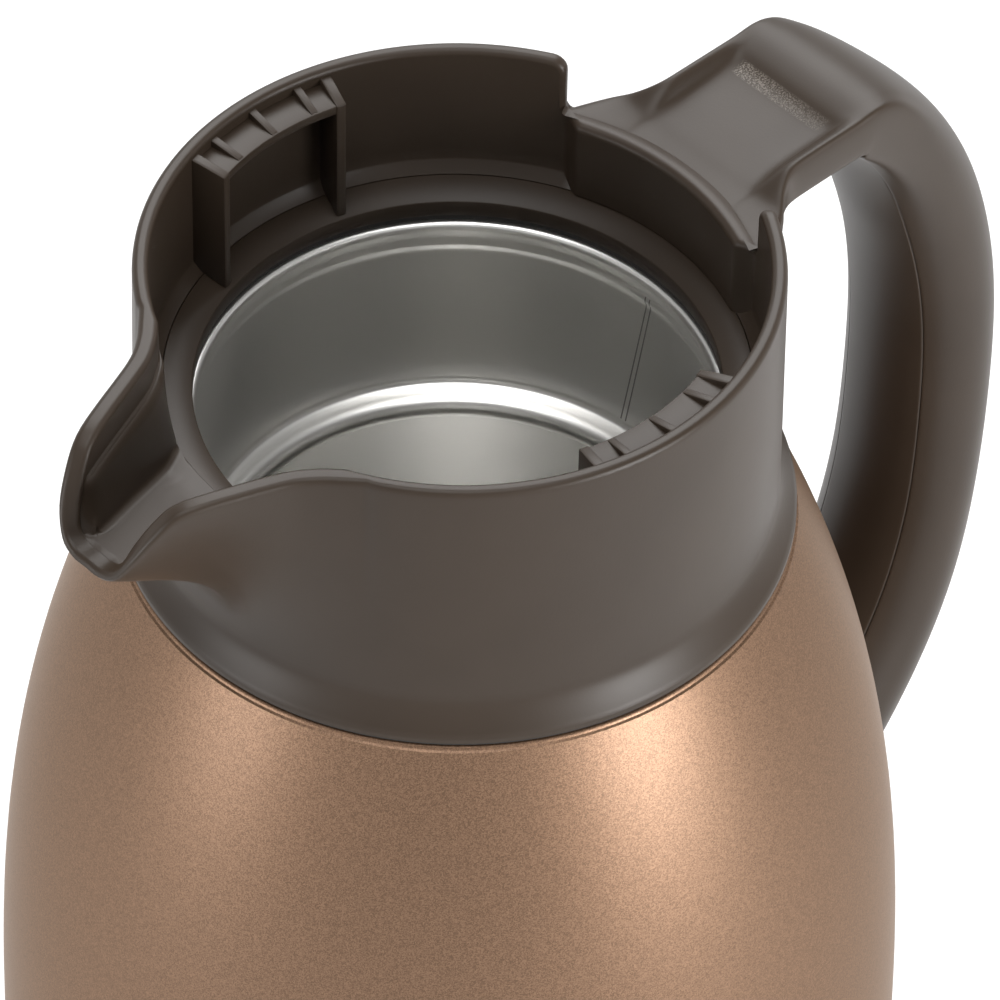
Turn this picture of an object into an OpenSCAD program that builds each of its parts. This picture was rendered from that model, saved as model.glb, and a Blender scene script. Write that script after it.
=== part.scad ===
// Vacuum-insulated serving carafe, seen with its lid unit lifted out.
// The origin is the middle of the base on the table. +Z is up, the handle is
// on the +X side and the spout on the -X side.

/* [Body] */
// Height of the collar's rim above the table
rim_h = 238; // [232:1:244]
// Largest diameter of the steel body
belly_d = 131.5; // [128:0.5:136]
// Height of the largest diameter above the table
belly_h = 83; // [78:1:88]
// Diameter of the body where the collar sits on it
shoulder_d = 94.8; // [94:0.2:97]
// How far the body is drawn in at its lower edge, on each side
base_draw_in = 4.75; // [3.5:0.25:6]
// Wall of the outer shell
shell_t = 0.8; // [0.6:0.1:1]
// Wall of the inner bottle
liner_t = 0.8; // [0.6:0.1:1]
// Width of the vacuum between the two walls
vacuum_gap = 5; // [4:0.5:6]

/* [Mouth] */
// Inside diameter of the rolled steel lip
mouth_d = 72; // [71:0.2:72.4]
// Depth of the steel lip below the rim
mouth_depth = 27.3; // [27:0.1:28]
// Inside diameter of the steel neck
neck_d = 74; // [73.6:0.1:74.2]
// Depth of the inward bead below the rim
bead_depth = 59.5; // [57:0.5:62]
// Inside diameter of the inward bead
bead_d = 66; // [64:0.5:68]

/* [Collar] */
// Outside diameter of the collar at its rim
collar_d = 88.8; // [88.6:0.1:89.4]
// Wall of the collar at its rim
collar_wall = 2.2; // [2.1:0.05:2.3]
// Depth of the crease above the flared foot
crease_depth = 39; // [38:0.5:40]
// Depth of the collar's foot below the rim
collar_depth = 45.2; // [45:0.1:46]
// Rounding of the rim's edges
rim_round = 0.9; // [0.6:0.1:1]
// Depth of the inner ledge at the wall
ledge_depth = 20.3; // [19.5:0.1:20.6]
// Width of the inner ledge
ledge_w = 1.5; // [1.3:0.1:1.6]

/* [Spout] */
// Distance from the axis to the tip of the spout
spout_reach = 67.5; // [64:0.5:71]
// Drop of the pouring edge below the rim
spout_drop = 11.8; // [10:0.2:13]
// Wall of the spout
spout_wall = 2.8; // [2.5:0.1:3]
// Depth of the step along the inside of the spout
spout_step_depth = 5.5; // [5:0.1:6.5]
// Width of that step
spout_step_w = 1.2; // [1:0.1:1.4]
// Depth of the channel's floor at the mouth
spout_floor_depth = 17.5; // [17:0.1:18.5]

/* [Latch windows] */
// Radius of the front face of the latch windows
latch_r = 37; // [36.8:0.1:37.6]
// Half of the angle that a window block covers
latch_half_angle = 17.8; // [16:0.2:19]
// Depth of the block's roof below the rim
latch_drop = 2.3; // [2:0.1:3]
// Thickness of the roof and posts
latch_t = 1.5; // [1.2:0.1:1.7]
// Thickness of the small ribs on the roof
latch_rib_t = 1.1; // [0.9:0.1:1.3]

/* [Lever recess] */
// Half of the angle of the notch in the rim over the handle
notch_half_angle = 27; // [25:0.5:29]
// Depth of the notch below the rim
notch_depth = 8.8; // [8.6:0.1:9.4]
// Radius of the inner face of the pad below the notch
pad_r = 40; // [39.8:0.1:40.6]

/* [Handle] */
// Distance from the axis to the middle of the grip
grip_x = 93.7; // [91:0.3:97]
// Depth of the widest point of the grip below the rim
grip_depth = 73; // [70:1:76]
// Depth of the grip's section, from palm side to finger side
grip_t = 18.2; // [17:0.2:20]
// Width of the grip across the hand
grip_w = 24.8; // [23:0.2:26]
// Width of the bridge between collar and grip
bridge_w = 25; // [24:0.2:26]
// Depth of the bridge's side rails below the rim
bridge_depth = 6.1; // [5.8:0.1:6.4]
// Height of the bridge's side rails from top to bottom
bridge_t = 7.2; // [7:0.1:8]
// Depth of the point where the handle's tail meets the body
tail_depth = 153; // [150:1:156]
// Wall of the handle moulding
handle_wall = 2.2; // [2:0.1:2.6]

/* [Base] */
// Height of the plastic base cover above the table
base_h = 7; // [6:0.5:9]
// Distance from the base's edge in to the middle of the anti-slip ring
foot_inset = 9; // [7:0.5:12]

/* [Hidden] */
$fn = 96;

// Colours
steel = "#b9b8b4";
bright_steel = "#cfcfcc";
copper_paint = "#b27c5c";
taupe = "#6e625b";
dark_rubber = "#2b2725";
foil = "#c4c4c2";

// Fits and overruns shared by several pieces
fit = 0.1;
loose_fit = 0.4;
overrun = 1;

// Body: levels and shell
base_d = belly_d - 2 * base_draw_in;
shoulder_power = 2.67;
base_power = 2.2;
seal_t = 0.6;
joint_z = rim_h - collar_depth - seal_t;
shoulder_ledge_w = 3.4;
neck_wall = 0.8;
neck_gap = 0.8;
neck_cone_h = 7;
neck_r = neck_d / 2;
shell_neck_r = neck_r + liner_t + neck_gap + neck_wall;
shell_neck_z = joint_z + neck_cone_h;
lip_roll = 2;
lip_z = rim_h - mouth_depth;
lip_out_r = neck_r + lip_roll;

function body_r(z) =
    z >= belly_h
        ? belly_d / 2 - (belly_d - shoulder_d) / 2
            * pow((z - belly_h) / (joint_z - belly_h), shoulder_power)
        : belly_d / 2 - (belly_d - base_d) / 2
            * pow((belly_h - z) / (belly_h - base_h), base_power);

// Points of a curve moved sideways by d; a positive d moves them to the left of the way along
function unit(v) = v / norm(v);
function side_step(path, i) =
    let (a = path[max(i - 1, 0)], b = path[min(i + 1, len(path) - 1)], t = unit(b - a))
    [-t[1], t[0]];
function moved(path, d) = [for (i = [0:len(path) - 1]) path[i] + d * side_step(path, i)];
function reversed(list) = [for (i = [len(list) - 1:-1:0]) list[i]];
function mix(a, b, k) = a + (b - a) * k;
function smooth(k) = let (c = min(max(k, 0), 1)) c * c * (3 - 2 * c);
function arc(c, r, a0, a1, n) =
    [for (i = [0:n]) c + r * [cos(mix(a0, a1, i / n)), sin(mix(a0, a1, i / n))]];
function bezier(p, t) =
    pow(1 - t, 3) * p[0] + 3 * t * pow(1 - t, 2) * p[1]
    + 3 * t * t * (1 - t) * p[2] + pow(t, 3) * p[3];

// Closed skin over rings of equal length; each ring is an outer chain and an inner chain run back
module skin(rings) {
    n = len(rings[0]);
    m = len(rings);
    k = n / 2;
    sides = [for (j = [0:m - 2], i = [0:n - 1])
        let (a = j * n + i, b = j * n + (i + 1) % n)
        each [[a, b, b + n], [a, b + n, a + n]]];
    start = [for (i = [0:k - 2]) let (p = n - 1 - i) each [[i, p, p - 1], [i, p - 1, i + 1]]];
    finish = [for (f = start) [for (v = reversed(f)) v + (m - 1) * n]];
    polyhedron(points = [for (r = rings) each r], faces = concat(sides, start, finish));
}

// Slice of a revolved profile, from one angle to another
module sector(points, from, to) {
    rotate([0, 0, from])
        rotate_extrude(angle = to - from)
            polygon(points);
}

module revolve(points) {
    rotate_extrude()
        polygon(points);
}

// Outer shell: drawn steel skin from its lower edge to the neck
shell_steps = 22;
shell_outline = concat(
    [for (i = [0:shell_steps])
        let (z = mix(base_h, joint_z, i / shell_steps)) [body_r(z), z]],
    [[shoulder_d / 2 - shoulder_ledge_w, joint_z],
     [shoulder_d / 2 - shoulder_ledge_w, joint_z + seal_t],
     [shell_neck_r, shell_neck_z],
     [shell_neck_r, lip_z - liner_t]]);

module outer_shell() {
    inner = [for (i = [0:shell_steps])
        let (z = mix(base_h, joint_z - shell_t, i / shell_steps)) [body_r(z) - shell_t, z]];
    neck = [[shoulder_d / 2 - shoulder_ledge_w - shell_t, joint_z - shell_t],
            [shoulder_d / 2 - shoulder_ledge_w - shell_t, joint_z + seal_t - shell_t / 2],
            [shell_neck_r - neck_wall, shell_neck_z - shell_t / 2],
            [shell_neck_r - neck_wall, lip_z - liner_t]];
    color(copper_paint)
        revolve(concat(shell_outline, reversed(concat(inner, neck))));
}

// Shell bottom: dished disc welded inside the shell's lower edge
bottom_flange_h = 4;
bottom_dish_h = 2.5;
getter_seat_d = 26;
seal_hole_d = 5;
shell_bottom_z = base_h + bottom_flange_h;

module shell_bottom() {
    r = body_r(base_h) - shell_t;
    color(steel)
        difference() {
            revolve([[0, shell_bottom_z + bottom_dish_h], [getter_seat_d, shell_bottom_z + bottom_dish_h],
                     [getter_seat_d + bottom_dish_h, shell_bottom_z], [r - shell_t, shell_bottom_z],
                     [r - shell_t, base_h], [r, base_h], [r, shell_bottom_z + shell_t],
                     [getter_seat_d + bottom_dish_h, shell_bottom_z + shell_t],
                     [getter_seat_d, shell_bottom_z + bottom_dish_h + shell_t],
                     [0, shell_bottom_z + bottom_dish_h + shell_t]]);
            translate([0, 0, shell_bottom_z])
                cylinder(d = seal_hole_d, h = bottom_dish_h + shell_t + overrun);
        }
}

// Inner bottle: one drawn steel piece with a rolled lip, a straight neck and an inward bead
liner_bottom_z = shell_bottom_z + bottom_dish_h + vacuum_gap;
liner_shoulder_h = 18;
liner_steps = 18;
liner_flange_h = 6;
liner_top_z = rim_h - bead_depth - liner_shoulder_h;
function liner_r(z) = body_r(z) - shell_t - vacuum_gap - liner_t;

// Inside surface of the bottle, from the bottom flange up to the lip
bead_r = bead_d / 2;
bead_z = rim_h - bead_depth;
liner_flange_r = liner_r(liner_bottom_z + liner_flange_h);
liner_inside = concat(
    [[liner_flange_r, liner_bottom_z]],
    [for (i = [0:liner_steps])
        let (z = mix(liner_bottom_z + liner_flange_h, liner_top_z, i / liner_steps)) [liner_r(z), z]],
    [for (i = [1:8])
        let (a = i * 90 / 8)
        [bead_r + lip_roll + (liner_r(liner_top_z) - bead_r - lip_roll) * cos(a),
         liner_top_z + (liner_shoulder_h - 2 * lip_roll) * sin(a)]],
    arc([bead_r + lip_roll, bead_z - lip_roll], lip_roll, 260, 90, 8),
    [[neck_r - lip_roll / 3, bead_z + lip_roll / 10],
     [neck_r, bead_z + lip_roll / 2],
     [neck_r, lip_z - 3 * lip_roll],
     [neck_r - lip_roll / 4, lip_z - 2.3 * lip_roll]],
    arc([mouth_d / 2 + lip_roll / 2, lip_z - lip_roll / 2], lip_roll / 2, 200, 90, 5),
    [[lip_out_r, lip_z]]);

module inner_bottle() {
    skin_outline = moved(liner_inside, -liner_t);
    last = len(liner_inside) - 1;
    outside = [for (i = [0:last])
        i == last ? [lip_out_r, lip_z - liner_t]
        : i == 0 ? [liner_flange_r + liner_t, liner_bottom_z]
        : skin_outline[i]];
    color(bright_steel)
        revolve(concat(liner_inside, reversed(outside)));
}

// Inner bottom: shallow domed disc welded into the bottle's lower edge
inner_dome_h = 3;

module inner_bottom() {
    r = liner_flange_r;
    color(bright_steel)
        revolve(concat(
            [[r - liner_t, liner_bottom_z + liner_flange_h], [r - liner_t, liner_bottom_z + 2 * liner_t]],
            [for (i = [0:6]) [(r - 3 * liner_t) * (1 - i / 6), liner_bottom_z + liner_t + inner_dome_h * sin(i * 15)]],
            [for (i = [6:-1:0]) [(r - 3 * liner_t) * (1 - i / 6), liner_bottom_z + inner_dome_h * sin(i * 15)]],
            [[r, liner_bottom_z + liner_t], [r, liner_bottom_z + liner_flange_h]]));
}

// Heat shield: metal foil wrapped round the inner bottle inside the vacuum
foil_t = 0.3;
foil_low_z = liner_bottom_z + liner_flange_h;
foil_top_gap = 17.5;
foil_high_z = liner_top_z - foil_top_gap;
foil_steps = 12;

module heat_shield() {
    outline = [for (i = [0:foil_steps])
        let (z = mix(foil_low_z, foil_high_z, i / foil_steps)) [liner_r(z) + liner_t + fit, z]];
    color(foil)
        revolve(concat([for (p = outline) p + [foil_t, 0]], reversed(outline)));
}

// Getter: small metal capsule seated on the shell bottom, in the vacuum
getter_d = 14;
getter_h = 2;
getter_x = 14;

module getter() {
    color(steel)
        translate([getter_x, 0, shell_bottom_z + bottom_dish_h + shell_t])
            cylinder(d = getter_d, h = getter_h);
}

// Vacuum seal: plug that closes the evacuation hole from below
seal_head_d = 10;
seal_head_h = 1.2;

module vacuum_seal() {
    color(steel)
        union() {
            translate([0, 0, shell_bottom_z + bottom_dish_h - seal_head_h])
                cylinder(d = seal_head_d, h = seal_head_h);
            translate([0, 0, shell_bottom_z + bottom_dish_h - seal_head_h / 2])
                cylinder(d = seal_hole_d - fit, h = shell_t + seal_head_h / 2);
        }
}

// Collar: wall, flared foot, inner ledge and the thread flange that grips the steel neck
collar_r = collar_d / 2;
collar_in_r = collar_r - collar_wall;
collar_draft = 0.5;
ledge_r = collar_in_r - ledge_w;
ledge_fall = 1.6;
thread_r = shell_neck_r + loose_fit;
flange_drop = 1.7;
flange_depth = mouth_depth + flange_drop;
foot_land = 1.2;
function collar_out_r(depth) =
    depth < crease_depth
        ? collar_r + collar_draft * depth / crease_depth
        : collar_r + collar_draft + (shoulder_d / 2 - collar_r - collar_draft)
            * pow((depth - crease_depth) / (collar_depth - foot_land - crease_depth), 1.5);

collar_profile = concat(
    arc([collar_r - rim_round, rim_h - rim_round], rim_round, 90, 0, 4),
    [[collar_out_r(crease_depth), rim_h - crease_depth]],
    [for (i = [1:5])
        let (d = mix(crease_depth, collar_depth - foot_land, i / 5)) [collar_out_r(d), rim_h - d]],
    [[shoulder_d / 2, rim_h - collar_depth],
     [shoulder_d / 2 - shoulder_ledge_w + loose_fit, rim_h - collar_depth],
     [thread_r, rim_h - collar_depth + shell_neck_z - joint_z],
     [thread_r, rim_h - flange_depth],
     [ledge_r, rim_h - flange_depth],
     [ledge_r, rim_h - ledge_depth - ledge_fall],
     [collar_in_r, rim_h - ledge_depth]],
    arc([collar_in_r + rim_round, rim_h - rim_round], rim_round, 180, 90, 4));

// Plan of the spout: angle from its middle, share of its reach, share of its drop
spout_knot_shares = [[0, 1, 1], [2.2, 1, 1], [4.4, 0.985, 0.9], [6.4, 0.93, 0.6], [8.2, 0.825, 0.28],
                [10, 0.7, 0.05], [13.3, 0.48, 0], [16.7, 0.29, 0], [20, 0.15, 0],
                [23.5, 0.07, 0], [27, 0.025, 0], [31, -0.01, 0]];
// Every list entry with a point between it and the next; the entry before the first is given
function refined(list, before) =
    let (last = len(list) - 1)
    [for (j = [0:2 * last])
        let (i = floor(j / 2),
             p = i == 0 ? before : list[i - 1],
             q = i + 2 > last ? 2 * list[last] - list[last - 1] : list[i + 2])
        j % 2 == 0 ? list[i] : (9 * (list[i] + list[i + 1]) - p - q) / 16];
spout_shares = let (k = spout_knot_shares) refined(k, [-k[1][0], k[1][1], k[1][2]]);
spout_last = len(spout_shares) - 1;
spout_foot_rise = 1;
spout_foot_depth = crease_depth - spout_foot_rise;
spout_rows = 8;
spout_core_r = collar_in_r + 0.3 * collar_wall;

function spout_r(i) = collar_r + (spout_reach - collar_r) * spout_shares[i][1];
function spout_edge_depth(i) = spout_drop * spout_shares[i][2];
keel_power = 0.54;
flank_power = 0.72;
flank_angle = 10;
// Share of the overhang left at share k of the way down; the keel falls back faster than the flanks
function beak_fade(k, i) =
    (1 + cos(180 * pow(k, mix(keel_power, flank_power, smooth(spout_shares[i][0] / flank_angle))))) / 2;

// One upright slice of the beak at table entry i, on side +1 or -1
function beak_ring(i, side) =
    let (a = 180 - side * spout_shares[i][0],
         top = spout_edge_depth(i),
         edge = spout_r(i),
         rows = [for (j = [0:spout_rows]) let (k = j / spout_rows,
             d = mix(top + rim_round, spout_foot_depth, k))
             [collar_out_r(d) + (edge - collar_r) * beak_fade(k, i), d]],
         edge_arc = [for (b = [90, 60, 30])
             [edge - rim_round + rim_round * cos(b), top + rim_round - rim_round * sin(b)]],
         outer = concat(edge_arc, rows),
         last = len(outer) - 1,
         inner = [for (j = [0:last]) [spout_core_r, mix(top, spout_foot_depth, j / last)]])
    [for (p = concat(outer, reversed(inner))) [p[0] * cos(a), p[0] * sin(a), rim_h - p[1]]];

module beak() {
    skin(concat([for (i = [spout_last:-1:0]) beak_ring(i, -1)],
                [for (i = [1:spout_last]) beak_ring(i, 1)]));
}

// Channel inside the beak, as the space that is cut away
spout_plan = [for (s = spout_knot_shares)
    let (r = collar_r + (spout_reach - collar_r) * s[1]) r * [cos(s[0]), sin(s[0])]];
channel_back_r = 0.92 * ledge_r;
channel_floor_rise = spout_floor_depth - spout_drop + fit;
function channel_floor(x) =
    spout_floor_depth - channel_floor_rise
        * min(max((x - collar_r) / (spout_reach - spout_wall - collar_r), 0), 1);
channel_taper = 1.4;
channel_tip_knots = 5;
function channel_half(d, narrowing) =
    let (last = len(spout_plan) - 1,
         line = [for (i = [0:last])
             spout_plan[i] + (d + narrowing * smooth(i / channel_tip_knots)) * side_step(spout_plan, i)])
    refined([for (i = [0:last]) [line[i][0], i == 0 ? 0.02 * line[1][1] : line[i][1]]],
            [line[1][0], -line[1][1]]);
function channel_ring(inset, depth, floor_share, narrowing) =
    let (side = channel_half(inset, narrowing),
         half = concat(side, [[channel_back_r, side[len(side) - 1][1]]]),
         far = [for (p = half) [-p[0], p[1], rim_h - mix(depth, channel_floor(p[0]), floor_share)]],
         near = [for (p = far) [p[0], -p[1], p[2]]])
    concat(far, reversed(near));

module channel() {
    below = spout_wall + spout_step_w;
    skin([channel_ring(below + rim_round, 0, 1, channel_taper),
          channel_ring(below, spout_step_depth, 0.85, channel_taper),
          channel_ring(below, spout_step_depth, 0, 0),
          channel_ring(spout_wall, spout_step_depth - spout_step_w / 4, 0, 0),
          channel_ring(spout_wall, -overrun, 0, 0)]);
}

// Latch window block: ribbed roof on two posts in front of the collar's wall
latch_z = rim_h - latch_drop;
latch_post_angle = latch_t / latch_r * 180 / PI;
latch_rib_angle = latch_rib_t / latch_r * 180 / PI;
latch_rib_angles = [-10.5, 0, 10.5];

latch_front_step = 0.2;

module latch_block(middle) {
    back_r = collar_in_r + collar_wall / 2;
    roof_r = latch_r + latch_front_step;
    rib_r = roof_r + latch_front_step;
    low = middle - latch_half_angle;
    high = middle + latch_half_angle - latch_post_angle;
    sector([[roof_r, latch_z - latch_t], [back_r, latch_z - latch_t],
            [back_r, latch_z], [roof_r, latch_z]],
           low + latch_post_angle / 2, high + latch_post_angle / 2);
    for (a = [low, high])
        sector([[latch_r, seat_z(latch_r) + fit], [ledge_r, seat_top_z + fit], [back_r, seat_top_z + fit],
                [back_r, rim_h - rim_round], [latch_r, latch_z + latch_front_step / 2]],
               a, a + latch_post_angle);
    for (a = latch_rib_angles)
        sector([[rib_r, latch_z - latch_t / 2], [back_r, latch_z - latch_t / 2],
                [back_r, rim_h - rim_round], [rib_r, latch_z + latch_front_step / 2]],
               middle + a - latch_rib_angle / 2, middle + a + latch_rib_angle / 2);
}

// Pad below the lever notch: rounded lip in the middle, ends that taper into the wall
pad_taper_angle = 4.5;
pad_taper_steps = 6;
pad_round = 1.2;
pad_step = 0.2;
pad_lap_angle = 1;

module pad() {
    back_r = collar_in_r + collar_wall / 2;
    inner = notch_half_angle - pad_taper_angle;
    top_z = rim_h - notch_depth - pad_step;
    sector(concat([[back_r, seat_top_z], [back_r, top_z]],
                  arc([pad_r + pad_round, top_z - pad_round], pad_round, 90, 180, 4),
                  [[pad_r, seat_top_z]]),
           -inner - pad_lap_angle, inner + pad_lap_angle);
    for (side = [0, 1])
        mirror([0, side, 0])
            translate([0, 0, seat_top_z + pad_step])
                linear_extrude(height = top_z - pad_round - seat_top_z)
                    polygon(concat(
                        [for (i = [0:pad_taper_steps])
                            let (a = inner + pad_taper_angle * i / pad_taper_steps,
                                 r = mix(pad_r + pad_step, collar_in_r + pad_step, smooth(i / pad_taper_steps)))
                            r * [cos(a), sin(a)]],
                        [for (a = [notch_half_angle, inner]) back_r * [cos(a), sin(a)]]));
}

notch_corner_r = 2.2;

module notch() {
    sector([[pad_r - overrun, rim_h - notch_depth], [collar_r + overrun, rim_h - notch_depth],
            [collar_r + overrun, rim_h + overrun], [pad_r - overrun, rim_h + overrun]],
           -notch_half_angle, notch_half_angle);
    for (side = [0, 1])
        mirror([0, side, 0])
            rotate([0, 0, notch_half_angle + notch_corner_r / collar_in_r * 180 / PI])
                translate([pad_r, 0, rim_h - notch_corner_r])
                    difference() {
                        translate([0, -notch_corner_r - overrun, 0])
                            cube([collar_r + overrun - pad_r, notch_corner_r + overrun,
                                  notch_corner_r + overrun]);
                        rotate([0, 90, 0])
                            cylinder(r = notch_corner_r, h = collar_r + overrun - pad_r);
                    }
}

module collar() {
    color(taupe)
        difference() {
            union() {
                difference() {
                    union() {
                        revolve(collar_profile);
                        beak();
                    }
                    channel();
                    notch();
                }
                pad();
                for (a = [90, -90])
                    latch_block(a);
            }
            saddle_screw_holes(ledge_r - overrun / 2);
        }
}

// Seat ring: sloping seat for the lid, snapped into the collar over the steel lip
seat_clear = 0.5;
seat_in_r = mouth_d / 2 + seat_clear;
seat_out_r = ledge_r - fit;
seat_fall = 1.5;
seat_t = 2.6;
seat_top_z = rim_h - ledge_depth - ledge_fall;
function seat_z(r) = seat_top_z - seat_fall * (seat_out_r - r) / (seat_out_r - seat_in_r);

module seat_ring() {
    skirt_in_r = lip_out_r + loose_fit;
    color(taupe)
        revolve([[seat_in_r, seat_top_z - seat_fall], [seat_out_r, seat_top_z],
                 [seat_out_r, rim_h - flange_depth], [skirt_in_r, rim_h - flange_depth],
                 [skirt_in_r, seat_top_z - seat_fall - seat_t], [seat_in_r, seat_top_z - seat_fall - seat_t]]);
}

// Neck gasket: rubber ring squeezed between the seat ring and the steel lip
gasket_set_back = 0.6;
gasket_in_r = seat_in_r + gasket_set_back;

module neck_gasket() {
    color(dark_rubber)
        revolve([[gasket_in_r, lip_z], [lip_out_r, lip_z],
                 [lip_out_r, seat_top_z - seat_fall - seat_t], [gasket_in_r, seat_top_z - seat_fall - seat_t]]);
}

// Shoulder seal: thin rubber ring between the collar's foot and the shell's ledge
module shoulder_seal() {
    in_r = shoulder_d / 2 - shoulder_ledge_w + loose_fit;
    color(dark_rubber)
        revolve([[in_r, joint_z], [shoulder_d / 2 - seal_t, joint_z],
                 [shoulder_d / 2 - seal_t, joint_z + seal_t], [in_r, joint_z + seal_t]]);
}

// Handle: middle line of the moulding, seen from the side
bridge_end_x = 67;
bridge_mid_depth = bridge_depth + bridge_t / 2;
crest_pull = 4;
drop_pull = 40.6;
lower_pull = 41.4;
tail_pull = 35;
tail_angle = 50;
root_inset = 1;
handle_root_x = collar_r - root_inset;
tail_x = belly_d / 2;
handle_curves = [
    [[bridge_end_x, -bridge_mid_depth], [bridge_end_x + crest_pull, -bridge_mid_depth],
     [grip_x, drop_pull - grip_depth], [grip_x, -grip_depth]],
    [[grip_x, -grip_depth], [grip_x, -grip_depth - lower_pull],
     [tail_x + tail_pull * cos(tail_angle), tail_pull * sin(tail_angle) - tail_depth],
     [tail_x, -tail_depth]]];
bridge_shares = [0, 0.076, 0.14, 0.275, 0.39, 0.59, 0.771, 0.831, 0.915];
curve_steps = 12;
handle_line = concat(
    [for (k = bridge_shares) [mix(handle_root_x, bridge_end_x, k), -bridge_mid_depth]],
    [for (i = [0:curve_steps - 1]) bezier(handle_curves[0], i / curve_steps)],
    [for (i = [0:curve_steps]) bezier(handle_curves[1], i / curve_steps)]);
handle_last = len(handle_line) - 1;
blend_start = len(bridge_shares) - 1;
blend_end = blend_start + 9;
recess_last = blend_start - 2;

// Share of the way from bridge section to grip section at ring i
function grip_share(i) = smooth((i - blend_start) / (blend_end - blend_start));
// Ring, and share of the way from the bridge's thickness to the grip's
thick_shares = [[8, 0], [9, 0.1], [11, 0.4], [13, 0.56], [15, 0.76], [17, 0.97], [19, 1],
                [22, 0.97], [24, 0.95], [27, 1.08], [30, 1.2], [33, 1.25]];
function half_t(i) = mix(bridge_t / 2, grip_t / 2, lookup(i, thick_shares));
// The bridge widens into the collar with hollow corners
root_w = 7;
root_len = 7;
function half_w(i) =
    mix(bridge_w / 2, grip_w / 2, grip_share(i))
    + root_w * pow(max(1 - (handle_line[i][0] - handle_root_x) / root_len, 0), 2);

// Half of the section of the bridge: [across, outwards], from the middle of the floor to the opening
rail_h_root = 3.6;
rail_h_end = 1.8;
root_dip = 3.4;
dip_len = 8;
rail_w = 2.9;
rail_round = 0.8;
plate_t = 2.2;
opening_w = 15;
function recess(i) =
    i > recess_last ? 0 : mix(rail_h_root, rail_h_end, i / recess_last);
function dip(i) = root_dip * (1 - smooth((handle_line[i][0] - handle_root_x) / dip_len));
function bridge_half(a, b, i) =
    let (floor_w = bridge_w / 2 - rail_w, floor_n = a - recess(i), top = a - dip(i))
    [[0, floor_n], [0.55 * floor_w, floor_n], [floor_w, floor_n],
     [floor_w + rail_round, mix(floor_n, top, 0.7)], [floor_w + 2 * rail_round, top],
     [b - rail_round / 2, top - rail_round / 3], [b, top - 1.5 * rail_round],
     [b, -a + rail_round], [b - rail_round / 2, -a + rail_round / 4],
     [b - handle_wall, -a]];
inside_corner = 0.3;
function bridge_inside(a, b, i) =
    let (ceiling = a - recess(i) - plate_t, w = b - handle_wall)
    [[0, ceiling], [0.4 * w, ceiling], [0.7 * w, ceiling], [0.85 * w, ceiling],
     [0.93 * w, ceiling - inside_corner / 6],
     [w - inside_corner, ceiling - inside_corner / 2], [w - inside_corner / 3, ceiling - inside_corner],
     [w, mix(ceiling, -a, 0.4)], [w, mix(ceiling, -a, 0.65)], [w, mix(ceiling, -a, 0.9)]];
function grip_half(a, b) =
    let (last = 180 - asin(opening_w / 2 / b))
    [for (i = [0:9]) [b * sin(i / 9 * last), a * cos(i / 9 * last)]];
function grip_inside(a, b) =
    let (last = 180 - asin(opening_w / 2 / b), bi = b - handle_wall, ai = a - handle_wall,
         stop = 180 - asin(opening_w / 2 / bi))
    [for (i = [0:9]) [bi * sin(i / 9 * stop), ai * cos(i / 9 * stop)]];

function handle_half(i) =
    mix(bridge_half(half_t(i), half_w(i), i), grip_half(half_t(i), half_w(i)), grip_share(i));
function handle_inside(i) =
    mix(bridge_inside(half_t(i), half_w(i), i), grip_inside(half_t(i), half_w(i)), grip_share(i));
function both_sides(half) =
    concat([for (i = [len(half) - 1:-1:1]) [-half[i][0], half[i][1]]], half);

// Point of a section put in place at ring i; the first ring lies on the collar, the last on the shell
tail_blend = 20;
function tail_share(i) =
    max(0, 1 - norm(handle_line[i] - handle_line[handle_last]) / tail_blend);
function ring_normal(i) =
    mix(side_step(handle_line, i), [0, -1 / cos(tail_angle)], tail_share(i));
function on_handle(i, p) =
    let (n = ring_normal(i),
         x = handle_line[i][0] + n[0] * p[1],
         z = rim_h + handle_line[i][1] + n[1] * p[1])
    i == 0 ? [sqrt(pow(collar_out_r(rim_h - z) + fit / 2, 2) - p[0] * p[0]), p[0], z]
    : i == handle_last ? [sqrt(pow(body_r(z) + fit / 2, 2) - p[0] * p[0]), p[0], z]
    : [x, p[0], z];
function placed(i, section) = [for (p = section) on_handle(i, p)];

saddle_t = 4.6;
saddle_half_angle = 13.5;
saddle_depth = 36;
screw_d = 3;
screw_head_d = 6;
screw_head_h = 2;
screw_depths = [20, 31];

// Tail: the screw's barrel stands on the bracket, and the boss and its web sit on the barrel's end
bracket_t = 1.5;
barrel_start_x = belly_d / 2 + bracket_t / 2;
barrel_h = 5;
boss_d = 11;
boss_x = barrel_start_x + barrel_h;
boss_web = 3;
counterbore_x = boss_x + boss_web;
counterbore_d = 8;
tail_screw_rise = 3;
tail_screw_depth = tail_depth - tail_screw_rise;

module saddle() {
    in_r = collar_r + collar_draft + fit / 2;
    out_r = collar_r + collar_draft + saddle_t;
    top_z = rim_h - bridge_depth - rail_h_root - plate_t / 2;
    sector([[in_r, rim_h - saddle_depth], [out_r - rail_round, rim_h - saddle_depth],
            [out_r, rim_h - saddle_depth + rail_round], [out_r, top_z], [in_r, top_z]],
           -saddle_half_angle, saddle_half_angle);
}

// Outside of the lower grip, closed across its open side
module tail_outline() {
    skin([for (i = [handle_last - 9:handle_last])
        let (w = 0.7 * half_w(i), n = -0.75 * half_t(i), half = both_sides(handle_half(i)),
             k = len(half) - 1)
        concat(placed(i, half), placed(i, [for (j = [0:k]) [mix(w, -w, j / k), n]]))]);
}

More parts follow.
